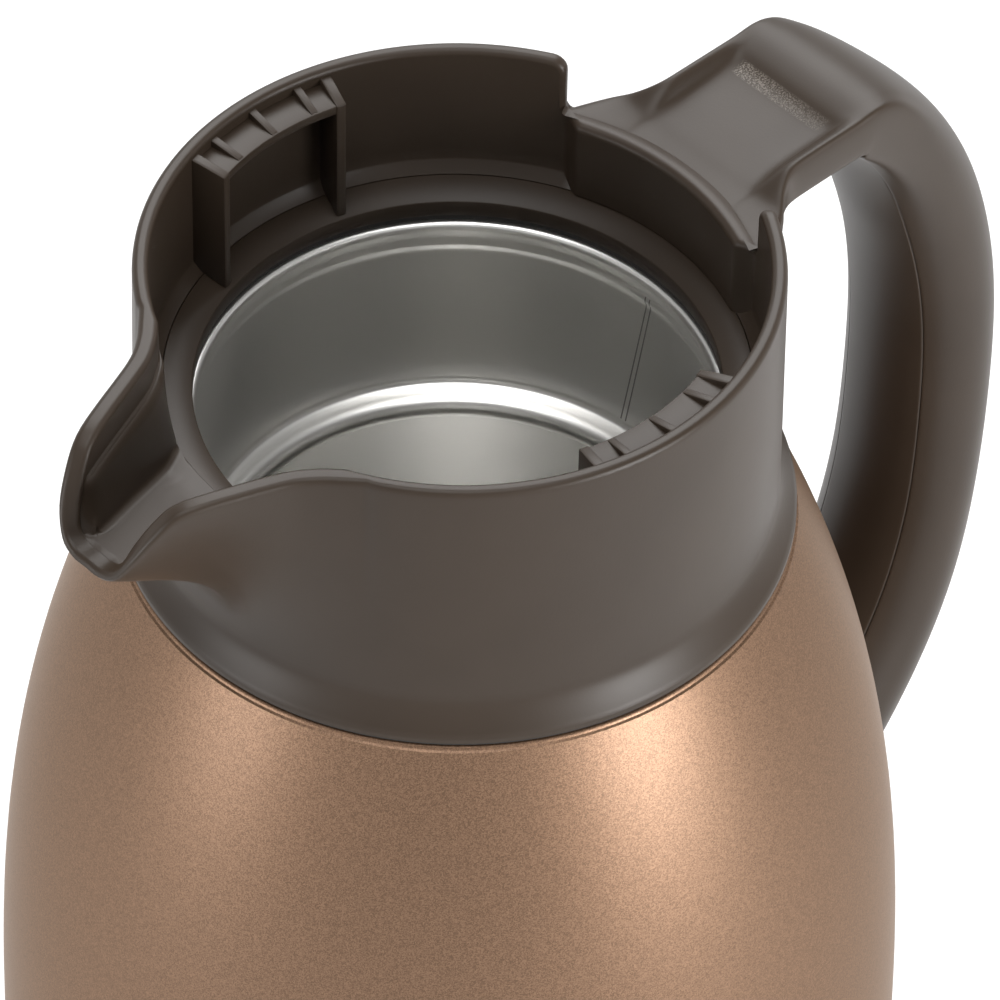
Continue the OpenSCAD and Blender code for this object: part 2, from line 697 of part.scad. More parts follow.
module handle() {
    rings = [for (i = [0:handle_last])
        concat(placed(i, both_sides(handle_half(i))),
               reversed(placed(i, both_sides(handle_inside(i)))))];
    color(taupe)
        difference() {
            union() {
                skin(rings);
                saddle();
                intersection() {
                    along_x(boss_x, tail_screw_depth)
                        cylinder(d = boss_d, h = belly_d / 2);
                    tail_outline();
                }
            }
            saddle_screw_holes(collar_r);
            for (d = screw_depths)
                along_x(saddle_seat_x, d)
                    cylinder(d = screw_head_d + loose_fit, h = saddle_t);
            along_x(boss_x - overrun, tail_screw_depth)
                cylinder(d = screw_d + fit, h = belly_d / 2);
            along_x(counterbore_x, tail_screw_depth)
                cylinder(d = counterbore_d, h = belly_d / 2);
        }
}

// Lying frame: +Z of the child points along +X, at a depth below the rim
module along_x(x, depth) {
    translate([x, 0, rim_h - depth])
        rotate([0, 90, 0])
            children();
}

// Screws that hold the handle's saddle to the collar, one above the other
saddle_seat_x = collar_r + collar_draft + saddle_t - screw_head_h;

module saddle_screw_holes(from) {
    for (d = screw_depths)
        along_x(from, d)
            cylinder(d = screw_d + fit, h = saddle_seat_x + overrun - from);
}

module saddle_screw(depth) {
    color(steel)
        union() {
            along_x(saddle_seat_x, depth)
                cylinder(d = screw_head_d, h = screw_head_h);
            along_x(ledge_r + overrun, depth)
                cylinder(d = screw_d, h = saddle_seat_x - ledge_r);
        }
}

module saddle_screw_upper() {
    saddle_screw(screw_depths[0]);
}

module saddle_screw_lower() {
    saddle_screw(screw_depths[1]);
}

// Handle cover: strip that closes the hollow handle on the finger side
cover_t = 1.8;
cover_first = 3;
function cover_outer_n(i, s) =
    let (a = half_t(i), b = half_w(i))
    mix(-a, -a * sqrt(max(1 - pow(s / b, 2), 0)), grip_share(i));
function cover_half_w(i) = handle_inside(i)[9][0] - 2 * fit;
function cover_section(i) =
    let (w = cover_half_w(i), ss = [for (k = [-1:0.25:1]) k * w])
    concat([for (s = ss) [s, cover_outer_n(i, s)]],
           [for (s = reversed(ss)) [s, cover_outer_n(i, s) + cover_t]]);

module handle_cover() {
    color(taupe)
        skin([for (i = [cover_first:handle_last]) placed(i, reversed(cover_section(i)))]);
}

// Tail bracket: steel plate welded to the shell, with a threaded barrel for the tail screw
plate_half_angle = 6;
plate_half_h = 8;
barrel_d = 8;

module tail_bracket() {
    low_z = rim_h - tail_screw_depth - plate_half_h;
    high_z = low_z + 2 * plate_half_h;
    color(steel)
        difference() {
            union() {
                sector([[belly_d / 2, low_z], [belly_d / 2 + bracket_t, low_z],
                        [belly_d / 2 + bracket_t, high_z], [belly_d / 2, high_z]],
                       -plate_half_angle, plate_half_angle);
                along_x(barrel_start_x, tail_screw_depth)
                    cylinder(d = barrel_d, h = boss_x - fit - barrel_start_x);
            }
            along_x(barrel_start_x, tail_screw_depth)
                cylinder(d = screw_d + fit, h = boss_x);
        }
}

// Tail screw: joins the handle's tail to the bracket
tail_head_h = 1.8;

module tail_screw() {
    start_x = barrel_start_x + loose_fit;
    color(steel)
        union() {
            along_x(start_x, tail_screw_depth)
                cylinder(d = screw_d, h = counterbore_x - start_x + tail_head_h / 2);
            along_x(counterbore_x, tail_screw_depth)
                cylinder(d = screw_head_d, h = tail_head_h);
        }
}

// Tail plug: closes the hole above the screw's head
plug_t = 1.6;

module tail_plug() {
    color(taupe)
        along_x(counterbore_x + tail_head_h + fit, tail_screw_depth)
            cylinder(d = counterbore_d - fit, h = plug_t);
}

// Base cover: moulded cup under the steel body, with a rim that snaps inside the bottom disc
cover_floor_z = 1.6;
cover_floor_t = 1.8;
cover_rim_t = 1.6;
cover_rim_h = 3;
cover_edge = 1.6;
groove_h = 0.8;
foot_w = 4;
foot_d = base_d - 2 * foot_inset;

module base_cover() {
    r = base_d / 2;
    rim_r = body_r(base_h) - 2 * shell_t - fit;
    foot_in_r = (foot_d - foot_w) / 2;
    foot_out_r = (foot_d + foot_w) / 2;
    color(taupe)
        revolve([[0, cover_floor_z], [foot_in_r, cover_floor_z], [foot_in_r, cover_floor_z + groove_h],
                 [foot_out_r, cover_floor_z + groove_h], [foot_out_r, cover_floor_z],
                 [r - 1.5 * cover_edge, cover_floor_z], [r - 0.4 * cover_edge, cover_floor_z + 0.4 * cover_edge],
                 [r, cover_floor_z + 1.6 * cover_edge], [r, base_h],
                 [rim_r, base_h], [rim_r, base_h + cover_rim_h], [rim_r - cover_rim_t, base_h + cover_rim_h],
                 [rim_r - cover_rim_t, cover_floor_z + cover_floor_t], [0, cover_floor_z + cover_floor_t]]);
}

// Foot ring: rubber ring seated in the cover's groove, stands on the table
module foot_ring() {
    in_r = (foot_d - foot_w) / 2 + fit / 2;
    out_r = (foot_d + foot_w) / 2 - fit / 2;
    edge = foot_w / 8;
    color(dark_rubber)
        revolve([[in_r, edge], [in_r + edge, 0], [out_r - edge, 0], [out_r, edge],
                 [out_r, cover_floor_z + groove_h], [in_r, cover_floor_z + groove_h]]);
}

outer_shell();
shell_bottom();
inner_bottle();
inner_bottom();
heat_shield();
getter();
vacuum_seal();
collar();
seat_ring();
neck_gasket();
shoulder_seal();
handle();
handle_cover();
saddle_screw_upper();
saddle_screw_lower();
tail_bracket();
tail_screw();
tail_plug();
base_cover();
foot_ring();
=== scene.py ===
import math

import bpy
from mathutils import Matrix, Vector


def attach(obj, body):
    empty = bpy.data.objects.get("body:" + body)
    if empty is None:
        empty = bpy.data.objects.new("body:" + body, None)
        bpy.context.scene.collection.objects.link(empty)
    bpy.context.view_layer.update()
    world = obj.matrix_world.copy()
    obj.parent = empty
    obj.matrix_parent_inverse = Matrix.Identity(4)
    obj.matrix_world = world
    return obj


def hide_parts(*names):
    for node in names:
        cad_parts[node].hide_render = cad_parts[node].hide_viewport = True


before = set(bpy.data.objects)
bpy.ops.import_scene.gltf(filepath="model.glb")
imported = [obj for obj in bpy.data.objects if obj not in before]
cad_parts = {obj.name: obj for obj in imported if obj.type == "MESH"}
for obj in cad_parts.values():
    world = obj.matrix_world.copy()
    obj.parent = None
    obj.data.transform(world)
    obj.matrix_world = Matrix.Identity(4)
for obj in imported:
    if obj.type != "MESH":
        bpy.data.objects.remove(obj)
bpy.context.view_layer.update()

# Camera: a long lens above and in front of the spout's side, looking down past the rim.
# It stands where the reference picture's rim, mouth, collar and belly outlines put it.
look_turn = math.radians(-43.5)
look_down = math.radians(45.36)
look_distance = 1.1144804
look_height = 0.1920842
swing = 0.0054644
tilt = 0.0161168

bpy.ops.object.select_all(action="DESELECT")
bpy.ops.object.camera_add()
camera = bpy.context.active_object
camera.name = "camera"
camera.data.lens = 288
camera.data.sensor_width = 36
camera.data.clip_start = 0.05
camera.data.clip_end = 20
back = Vector((math.sin(look_turn) * math.cos(look_down),
               -math.cos(look_turn) * math.cos(look_down),
               math.sin(look_down)))
camera.matrix_world = (
    Matrix.Translation(Vector((0, 0, look_height)) + look_distance * back)
    @ Matrix.Rotation(look_turn, 4, "Z")
    @ Matrix.Rotation(math.pi / 2 - look_down, 4, "X")
    @ Matrix.Rotation(-swing, 4, "Y")
    @ Matrix.Rotation(tilt, 4, "Z")
)
bpy.context.scene.camera = camera
bpy.context.scene.view_settings.view_transform = "Standard"

# Table: a plain white floor that fades into the white of the studio.
# It is lit like the carafe and keeps its shadow.
table_r = 12
fade_start = 0.3
fade_end = 0.6
floor_glow = 0.46
white = (1, 1, 1, 1)


def new_material(name):
    """An empty material and its node tree."""
    material = bpy.data.materials.new(name)
    material.use_nodes = True
    material.node_tree.nodes.clear()
    return material, material.node_tree


def add_node(tree, kind, values=(), **settings):
    """A node with its settings. A socket, by name or number, gets a value or is linked to an output."""
    node = tree.nodes.new(kind)
    for key, value in settings.items():
        setattr(node, key, value)
    for key, value in dict(values).items():
        if isinstance(value, bpy.types.NodeSocket):
            tree.links.new(value, node.inputs[key])
        else:
            node.inputs[key].default_value = value
    return node


def result(tree, operation, first, second=0, clamp=False):
    """The result of one step of arithmetic on outputs or numbers."""
    step = add_node(tree, "ShaderNodeMath", {0: first, 1: second}, operation=operation, use_clamp=clamp)
    return step.outputs[0]


def place_in(tree):
    """Where a point lies on its piece, in metres."""
    return add_node(tree, "ShaderNodeTexCoord").outputs["Object"]


def seen_in(tree):
    """1 for what the camera sees, straight, mirrored or through something, and 0 for other light."""
    rays = add_node(tree, "ShaderNodeLightPath").outputs
    seen = result(tree, "MAXIMUM", rays["Is Camera Ray"], rays["Is Glossy Ray"])
    return result(tree, "MAXIMUM", seen, rays["Is Transmission Ray"])


bpy.ops.mesh.primitive_circle_add(vertices=96, radius=table_r, fill_type="NGON", location=(0, 0, 0))
table_top = bpy.context.active_object
table_top.name = "table_top"

white_table, tree = new_material("white_table")
seen = seen_in(tree)
paint = add_node(tree, "ShaderNodeBsdfDiffuse", {"Color": (0.62, 0.62, 0.62, 1)})
glow = add_node(tree, "ShaderNodeEmission", {
    "Color": white, "Strength": result(tree, "MULTIPLY", seen, floor_glow)})
near = add_node(tree, "ShaderNodeAddShader", {0: paint.outputs[0], 1: glow.outputs[0]})
how_far = add_node(tree, "ShaderNodeVectorMath", {0: place_in(tree)}, operation="LENGTH")
far_off = add_node(tree, "ShaderNodeMapRange", {
    "Value": how_far.outputs["Value"], "From Min": fade_start, "From Max": fade_end})
far = add_node(tree, "ShaderNodeEmission", {"Color": white, "Strength": 1})
faded = add_node(tree, "ShaderNodeMixShader", {
    0: result(tree, "MULTIPLY", far_off.outputs[0], seen), 1: near.outputs[0], 2: far.outputs[0]})
add_node(tree, "ShaderNodeOutputMaterial", {"Surface": faded.outputs[0]})
table_top.data.materials.append(white_table)

# Studio: a white room that is greyer overhead, and four soft boxes.
# Two stand low at the sides of the camera, one is behind the handle and one overhead.
aim_z = 0.16


def colour_ramp(tree, share, low, high):
    """The colour at this share of the way from low to high, each given as a place on it and a colour."""
    ramp = add_node(tree, "ShaderNodeValToRGB", {0: share})
    for element, (position, colour) in zip(ramp.color_ramp.elements, (low, high)):
        element.position = position
        element.color = colour
    return ramp.outputs["Color"]


world = bpy.data.worlds.new("studio")
bpy.context.scene.world = world
world.use_nodes = True
tree = world.node_tree
tree.nodes.clear()
direction = add_node(tree, "ShaderNodeTexCoord")
upness = add_node(tree, "ShaderNodeSeparateXYZ", {0: direction.outputs["Generated"]})
room = add_node(tree, "ShaderNodeBackground", {
    "Color": colour_ramp(tree, upness.outputs["Z"], (0.25, white), (0.7, (0.3, 0.3, 0.3, 1)))})
ambient = add_node(tree, "ShaderNodeBackground", {"Color": white, "Strength": 0.15})
choice = add_node(tree, "ShaderNodeMixShader", {
    0: seen_in(tree), 1: ambient.outputs[0], 2: room.outputs[0]})
add_node(tree, "ShaderNodeOutputWorld", {"Surface": choice.outputs[0]})


def soft_box(name, turn, rise, distance, width, height, power):
    """A rectangular lamp at an angle round the carafe and above the table, aimed at the upper body."""
    turn, rise = math.radians(turn), math.radians(rise)
    away = Vector((math.sin(turn) * math.cos(rise), -math.cos(turn) * math.cos(rise), math.sin(rise)))
    bpy.ops.object.light_add(type="AREA", location=Vector((0, 0, aim_z)) + distance * away)
    lamp = bpy.context.active_object
    lamp.name = name
    lamp.data.shape = "RECTANGLE"
    lamp.data.size = width
    lamp.data.size_y = height
    lamp.data.energy = power
    lamp.rotation_euler = away.to_track_quat("Z", "Y").to_euler()


soft_box("left_box", -104, 8, 0.8, 0.3, 0.5, 2.8)
soft_box("right_box", 10, 8, 0.8, 0.3, 0.5, 7)
soft_box("back_box", 130, 48, 1.3, 0.9, 0.9, 15)
soft_box("top_box", -60, 78, 1.4, 0.9, 0.9, 9)

# Steel body: the outer skin is drawn from sheet steel and spray painted.
# The paint is a copper brown with fine metal flakes under a satin lacquer.
mm = 0.001
rim_z = 238.0
belly_r = 65.75
belly_z = 83.0
shoulder_r = 47.4
shoulder_power = 2.67
base_r = 61.0
base_z = 7.0
base_power = 2.2
joint_z = 192.2
steel_t = 0.8
lip_z = 210.7
edge_r = 0.7
ledge_w = 3.4
cone_start = 0.6
cone_end = 7.0
cone_inset = 0.4
sleeve_r = 39.4
sleeve_t = 0.8
sharp_turn = math.radians(50)
smooth_turn = math.radians(38)
merge_gap = 0.000003


def between(a, b, share):
    return a + (b - a) * share


def spaced(a, b, steps):
    """Even steps from a to b, with both ends."""
    return [between(a, b, k / steps) for k in range(steps + 1)]


def body_radius(z):
    if z >= belly_z:
        share, end_r, power = (z - belly_z) / (joint_z - belly_z), shoulder_r, shoulder_power
    else:
        share, end_r, power = (belly_z - z) / (belly_z - base_z), base_r, base_power
    return belly_r - (belly_r - end_r) * share ** power


def arc(x, z, r, start, end, steps):
    """Points of an arc round (x, z), from one angle to another in degrees."""
    turns = [math.radians(turn) for turn in spaced(start, end, steps)]
    return [(x + r * math.cos(turn), z + r * math.sin(turn)) for turn in turns]


def bevel_sharp_edges(edge, segments):
    """In edit mode, the sharp edges of the piece are rounded."""
    bpy.ops.mesh.select_all(action="DESELECT")
    bpy.ops.mesh.edges_select_sharp(sharpness=sharp_turn)
    bpy.ops.mesh.bevel(offset=edge * mm, segments=segments)


def turned(name, outline, start=0, end=360, edge=0.0, steps=160):
    """A solid swept round the upright axis from a closed outline of radii and heights."""
    bpy.ops.object.select_all(action="DESELECT")
    bpy.ops.mesh.primitive_circle_add(
        vertices=len(outline), fill_type="NOTHING" if end - start == 360 else "NGON")
    piece = bpy.context.active_object
    piece.name = name
    turn = math.radians(start)
    for vertex, (r, z) in zip(piece.data.vertices, outline):
        vertex.co = Vector((r * math.cos(turn), r * math.sin(turn), z)) * mm
    bpy.ops.object.mode_set(mode="EDIT")
    bpy.ops.mesh.select_all(action="SELECT")
    bpy.ops.mesh.spin(steps=steps, angle=-math.radians(end - start), center=(0, 0, 0), axis=(0, 0, 1))
    bpy.ops.mesh.select_all(action="SELECT")
    bpy.ops.mesh.remove_doubles(threshold=merge_gap)
    bpy.ops.mesh.normals_make_consistent(inside=False)
    if edge:
        bevel_sharp_edges(edge, 2)
    bpy.ops.object.mode_set(mode="OBJECT")
    return piece


def in_place(piece, *nodes):
    """The finished piece stands for these CAD nodes, with its curved faces shaded smooth."""
    bpy.ops.object.select_all(action="DESELECT")
    piece.select_set(True)
    bpy.context.view_layer.objects.active = piece
    bpy.ops.object.shade_smooth_by_angle(angle=smooth_turn)
    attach(piece, "root")
    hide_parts(*nodes)


def finish_with(piece, material):
    """The piece gets this material alone."""
    piece.data.materials.clear()
    piece.data.materials.append(material)


def shared_effect(name, inputs, output):
    """An empty group of shader nodes that several materials share, with what it is given and makes."""
    group = bpy.data.node_groups.new(name, "ShaderNodeTree")
    for socket, start in inputs.items():
        number = group.interface.new_socket(socket, in_out="INPUT", socket_type="NodeSocketFloat")
        number.default_value = start
    group.interface.new_socket(output, in_out="OUTPUT", socket_type="NodeSocketFloat")
    return group, group.nodes.new("NodeGroupInput").outputs, group.nodes.new("NodeGroupOutput").inputs


# Faint smudges and dulled patches, as hands and cloths leave them
handling, given, made = shared_effect("handling", {"Level": 0.4, "Spread": 0.08}, "Roughness")
smudges = add_node(handling, "ShaderNodeTexNoise", {
    "Vector": place_in(handling), "Scale": 34, "Detail": 4, "Roughness": 0.6})
patches = result(handling, "MULTIPLY", result(handling, "SUBTRACT", smudges.outputs[0], 0.5), given["Spread"])
handling.links.new(result(handling, "ADD", patches, given["Level"], clamp=True), made["Roughness"])


def surface(tree, height, strength, depth, level, spread, values):
    """The outside of a material: its grain as a bump of this height, its gloss dulled by handling."""
    bump = add_node(tree, "ShaderNodeBump", {"Strength": strength, "Distance": depth, "Height": height})
    wear = add_node(tree, "ShaderNodeGroup", {"Level": level, "Spread": spread}, node_tree=handling)
    skin = add_node(tree, "ShaderNodeBsdfPrincipled", {
        **values, "Roughness": wear.outputs["Roughness"], "Normal": bump.outputs[0]})
    add_node(tree, "ShaderNodeOutputMaterial", {"Surface": skin.outputs[0]})


copper_paint, tree = new_material("copper_paint")
place = place_in(tree)
flakes = add_node(tree, "ShaderNodeTexVoronoi", {"Vector": place, "Scale": 6800})
flake_light = add_node(tree, "ShaderNodeSeparateColor", {0: flakes.outputs["Color"]})
flake_colour = colour_ramp(
    tree, flake_light.outputs[0], (0.1, (0.125, 0.066, 0.033, 1)), (0.97, (0.245, 0.139, 0.08, 1)))
orange_peel = add_node(tree, "ShaderNodeTexNoise", {"Vector": place, "Scale": 900, "Detail": 3})
surface(tree, orange_peel.outputs[0], strength=0.12, depth=0.0002, level=0.44, spread=0.06, values={
    "Base Color": flake_colour, "Metallic": 0.9, "Coat Weight": 0.5, "Coat Roughness": 0.4,
    "Coat IOR": 1.6, "Specular Tint": (0.55, 0.44, 0.34, 1)})

body_out = [(body_radius(z), z) for z in spaced(base_z, joint_z - edge_r, 60)]
body_out += arc(shoulder_r - edge_r, joint_z - edge_r, edge_r, 15, 90, 6)
neck_out = [(shoulder_r - ledge_w, joint_z), (shoulder_r - ledge_w, joint_z + cone_start),
            (sleeve_r, joint_z + cone_end), (sleeve_r, lip_z - steel_t)]
ledge_in_r = shoulder_r - ledge_w - steel_t
sleeve_in_r = sleeve_r - sleeve_t
body_in = [(body_radius(z) - steel_t, z) for z in spaced(base_z, joint_z - steel_t, 30)]
body_in += [(ledge_in_r, joint_z - steel_t), (ledge_in_r, joint_z + cone_start - cone_inset),
            (sleeve_in_r, joint_z + cone_end - cone_inset), (sleeve_in_r, lip_z - steel_t)]
body_skin = turned("body_skin", body_out + neck_out + body_in[::-1])
in_place(body_skin, "outer_shell")
finish_with(body_skin, copper_paint)

# Inner bottle: drawn steel with a rolled lip, a straight neck and an inward bead, welded to its bottom.
# Its surface is satin from the drawing, with fine lines that run round and a slanting weld in the neck.
wall_gap = 6.6
bottle_bottom_z = 18.5
bottle_flange_z = 24.5
bottle_top_z = 160.5
bead_z = 178.5
bead_r = 33.0
neck_r = 37.0
neck_foot = 1.6
neck_top = 6.4
lip_r = 36.0
lip_out_r = 39.0
roll = 2.0
dome_rise = 3.0


def set_off(line, widths):
    """The line moved sideways, to the right of the way along it, by a width for each point."""
    moved = []
    for i, ((x, z), d) in enumerate(zip(line, widths)):
        ax, az = line[max(i - 1, 0)]
        bx, bz = line[min(i + 1, len(line) - 1)]
        length = math.hypot(bx - ax, bz - az)
        moved.append((x + d * (bz - az) / length, z - d * (bx - ax) / length))
    return moved


flange_r = body_radius(bottle_flange_z) - wall_gap
shoulder_start_r = body_radius(bottle_top_z) - wall_gap
bottle_inside = [(flange_r, bottle_bottom_z)]
bottle_inside += [(body_radius(z) - wall_gap, z) for z in spaced(bottle_flange_z, bottle_top_z, 40)]
for k in range(1, 19):
    turn = math.radians(5 * k)
    bottle_inside.append((between(bead_r + roll, shoulder_start_r, math.cos(turn)),
                          bottle_top_z + (bead_z - bottle_top_z - 2 * roll) * math.sin(turn)))
bottle_inside += arc(bead_r + roll, bead_z - roll, roll, 262, 92, 18)
bottle_inside += [(neck_r - 0.67, bead_z + 0.2), (neck_r - 0.3, bead_z + 0.45), (neck_r, bead_z + 1.1),
                  (neck_r, bead_z + neck_foot)]
bottle_inside += [(neck_r, z) for z in spaced(bead_z + neck_foot, lip_z - neck_top, 8)[1:]]
# The lip: how far in from the neck's wall, and how far below the top
bottle_inside += [(neck_r - inwards, lip_z - below) for inwards, below in (
    (0, 6), (0.12, 5.3), (0.5, 4.6), (0.65, 4.0), (0.6, 3.2), (0.72, 2.4))]
bottle_inside += arc(lip_r + 1, lip_z - 1, 1, 198, 90, 12)
bottle_outside = set_off(bottle_inside, [steel_t] * len(bottle_inside))
bottle_outside[0] = (flange_r + steel_t, bottle_bottom_z)
bottle_wall = turned("bottle_wall", bottle_inside + [(lip_out_r, lip_z), (lip_out_r, lip_z - steel_t)]
                     + bottle_outside[:-8][::-1])
in_place(bottle_wall, "inner_bottle")

dome = [((flange_r - 3 * steel_t) * (1 - k / 12), dome_rise * math.sin(math.radians(7.5 * k)))
        for k in range(13)]
bottle_floor = turned("bottle_floor", (
    [(flange_r, bottle_flange_z), (flange_r - steel_t, bottle_flange_z),
     (flange_r - steel_t, bottle_bottom_z + 2 * steel_t)]
    + [(r, bottle_bottom_z + steel_t + rise) for r, rise in dome]
    + [(r, bottle_bottom_z + rise) for r, rise in dome[::-1]] + [(flange_r, bottle_bottom_z + steel_t)]))
in_place(bottle_floor, "inner_bottom")

# Lines that the drawing left in the steel, running round the axis
drawn_lines, given, made = shared_effect("drawn_lines", {"Scale": 60}, "Height")
squeeze = add_node(drawn_lines, "ShaderNodeMapping", {0: place_in(drawn_lines), "Scale": (1, 1, 60)})
fine = add_node(drawn_lines, "ShaderNodeTexNoise", {
    "Vector": squeeze.outputs[0], "Scale": given["Scale"], "Detail": 5, "Roughness": 0.65})
drawn_lines.links.new(fine.outputs[0], made["Height"])

# The neck's weld: two thin scored lines that slant down the side below the handle
seam_start_z = 0.2074
seam_end_z = 0.1800
seam_turn = 0.118
seam_half_gap = 0.00042
seam_half_line = 0.00011

bottle_steel, tree = new_material("bottle_steel")
axes = add_node(tree, "ShaderNodeSeparateXYZ", {0: place_in(tree)}).outputs
turn = result(tree, "ARCTAN2", axes["Y"], axes["X"])
fall = result(tree, "MULTIPLY", result(tree, "SUBTRACT", seam_start_z, axes["Z"]),
              seam_turn / (seam_start_z - seam_end_z))
aside = result(tree, "ABSOLUTE", result(tree, "MULTIPLY", result(tree, "SUBTRACT", turn, fall), neck_r * mm))
off_line = result(tree, "ABSOLUTE", result(tree, "SUBTRACT", aside, seam_half_gap))
line = result(tree, "LESS_THAN", off_line, seam_half_line)
above = result(tree, "GREATER_THAN", axes["Z"], seam_end_z)
below = result(tree, "LESS_THAN", axes["Z"], seam_start_z)
seam = result(tree, "MULTIPLY", line, result(tree, "MULTIPLY", above, below))
lines = add_node(tree, "ShaderNodeGroup", {"Scale": 60}, node_tree=drawn_lines)
scored = result(tree, "SUBTRACT", result(tree, "MULTIPLY", lines.outputs["Height"], 0.3), seam)
tint = colour_ramp(tree, seam, (0, (0.85, 0.84, 0.815, 1)), (1, (0.3, 0.295, 0.28, 1)))
surface(tree, scored, strength=0.35, depth=0.0002, level=0.33, spread=0.03, values={
    "Base Color": tint, "Metallic": 1})
finish_with(bottle_wall, bottle_steel)
finish_with(bottle_floor, bottle_steel)

# Collar: one thick-walled ring of taupe plastic, injection moulded with its spout and handle notch.
# It screws onto the steel neck, and its flared foot sits on the shoulder of the body.
collar_r = 44.4
collar_draft = 0.5
wall_r = 42.2
crease_depth = 39.0
flare_end_depth = 44.0
foot_depth = 45.2
foot_r = 47.4
foot_inner_r = 44.4
ledge_r = 40.7
ledge_start_depth = 20.3
ledge_end_depth = 21.9
ledge_slope = (ledge_end_depth - ledge_start_depth) / (wall_r - ledge_r)
flange_depth = 29.0
thread_r = 39.8
thread_depth = 38.2
rim_round = 0.9
fan_depth = 13.0
lip_fade = 2.5
lip_least = 0.3
round_share = 0.4

# Spout: an overhanging beak that fades back into the wall, with a stepped channel inside
spout_reach = 67.5
spout_drop = 11.8
spout_wall = 2.8
spout_foot_depth = 38.0
keel_power = 0.54
flank_power = 0.72
flank_angle = 10.0
step_depth = 5.5
step_width = 0.8
step_round = 0.3
step_fade = 4.0
fan_end = 8
channel_slope = 0.6
channel_taper = 1.4
channel_taper_knots = 5
channel_floor_depth = 17.5
channel_floor_rise = 5.8
floor_fillet = 1.1
# Angle from the spout's middle in degrees, share of the reach, share of the drop
spout_knots = [(0, 1, 1), (2.2, 1, 1), (4.4, 0.985, 0.9), (6.4, 0.93, 0.6), (8.2, 0.825, 0.28),
               (10, 0.7, 0.05), (13.3, 0.48, 0), (16.7, 0.29, 0), (20, 0.15, 0),
               (23.5, 0.07, 0), (27, 0.025, 0), (31, -0.01, 0)]

# Notch: a lowered stretch of rim over the handle, with a thicker pad that tapers off at its ends
notch_half = 27.0
notch_depth = 8.8
notch_corner_r = 2.2
notch_fillet_r = 0.6
pad_r = 40.0
pad_round = 1.2
pad_taper = 4.5
lip_fall = 0.85
lip_width = 3.0


def eased(share):
    share = min(max(share, 0.0), 1.0)
    return share * share * (3 - 2 * share)


def smooth_through(knots, before, u):
    """The point at place u on the smooth curve through the knots; before is the knot ahead of the first."""
    last = len(knots) - 1
    i = min(int(u), last - 1)
    t = u - i
    p0 = before if i == 0 else knots[i - 1]
    p1, p2 = knots[i], knots[i + 1]
    p3 = knots[i + 2] if i + 2 <= last else [2 * b - a for a, b in zip(p1, p2)]
    return [0.5 * (2 * b + (c - a) * t + (2 * a - 5 * b + 4 * c - d) * t * t
                   + (3 * b - a - 3 * c + d) * t ** 3)
            for a, b, c, d in zip(p0, p1, p2, p3)]


def spout_at(u):
    """Angle from the spout's middle, share of the reach and share of the drop, at place u of its plan."""
    return smooth_through(spout_knots, (-2.2, 1, 1), u)


def plan_point(knot):
    turn = math.radians(knot[0])
    reach = between(collar_r, spout_reach, knot[1])
    return reach * math.cos(turn), reach * math.sin(turn)


def channel_line(inset, narrowing):
    """The channel's side in plan, set in from the outline of the spout by its wall."""
    plan = [plan_point(k) for k in spout_knots]
    moved = set_off(plan, [-inset - narrowing * eased(i / channel_taper_knots) for i in range(len(plan))])
    moved[0] = (moved[0][0], 0.0)
    return moved


# From the wall inwards: the flank above the step, the step's edge, the foot of the flank, the fillet's toe
foot_inset = spout_wall + step_width + channel_slope
channel_lines = [channel_line(spout_wall, 0), channel_line(spout_wall + step_width, 0),
                 channel_line(foot_inset, channel_taper),
                 channel_line(foot_inset + floor_fillet, channel_taper)]


def line_at(line, u):
    """Radius and angle from the handle of a channel line at place u, kept out of the round opening."""
    x, y = smooth_through(line, (line[1][0], -line[1][1]), u)
    return max(math.hypot(x, y), wall_r), 180 - math.degrees(math.atan2(y, x))


def channel_floor(x):
    run = spout_reach - spout_wall - collar_r
    return channel_floor_depth - channel_floor_rise * min(max((x - collar_r) / run, 0.0), 1.0)


def wall_outside(depth):
    if depth < crease_depth:
        return collar_r + collar_draft * depth / crease_depth
    share = (depth - crease_depth) / (flare_end_depth - crease_depth)
    return between(collar_r + collar_draft, foot_r, min(share, 1.0) ** 1.5)


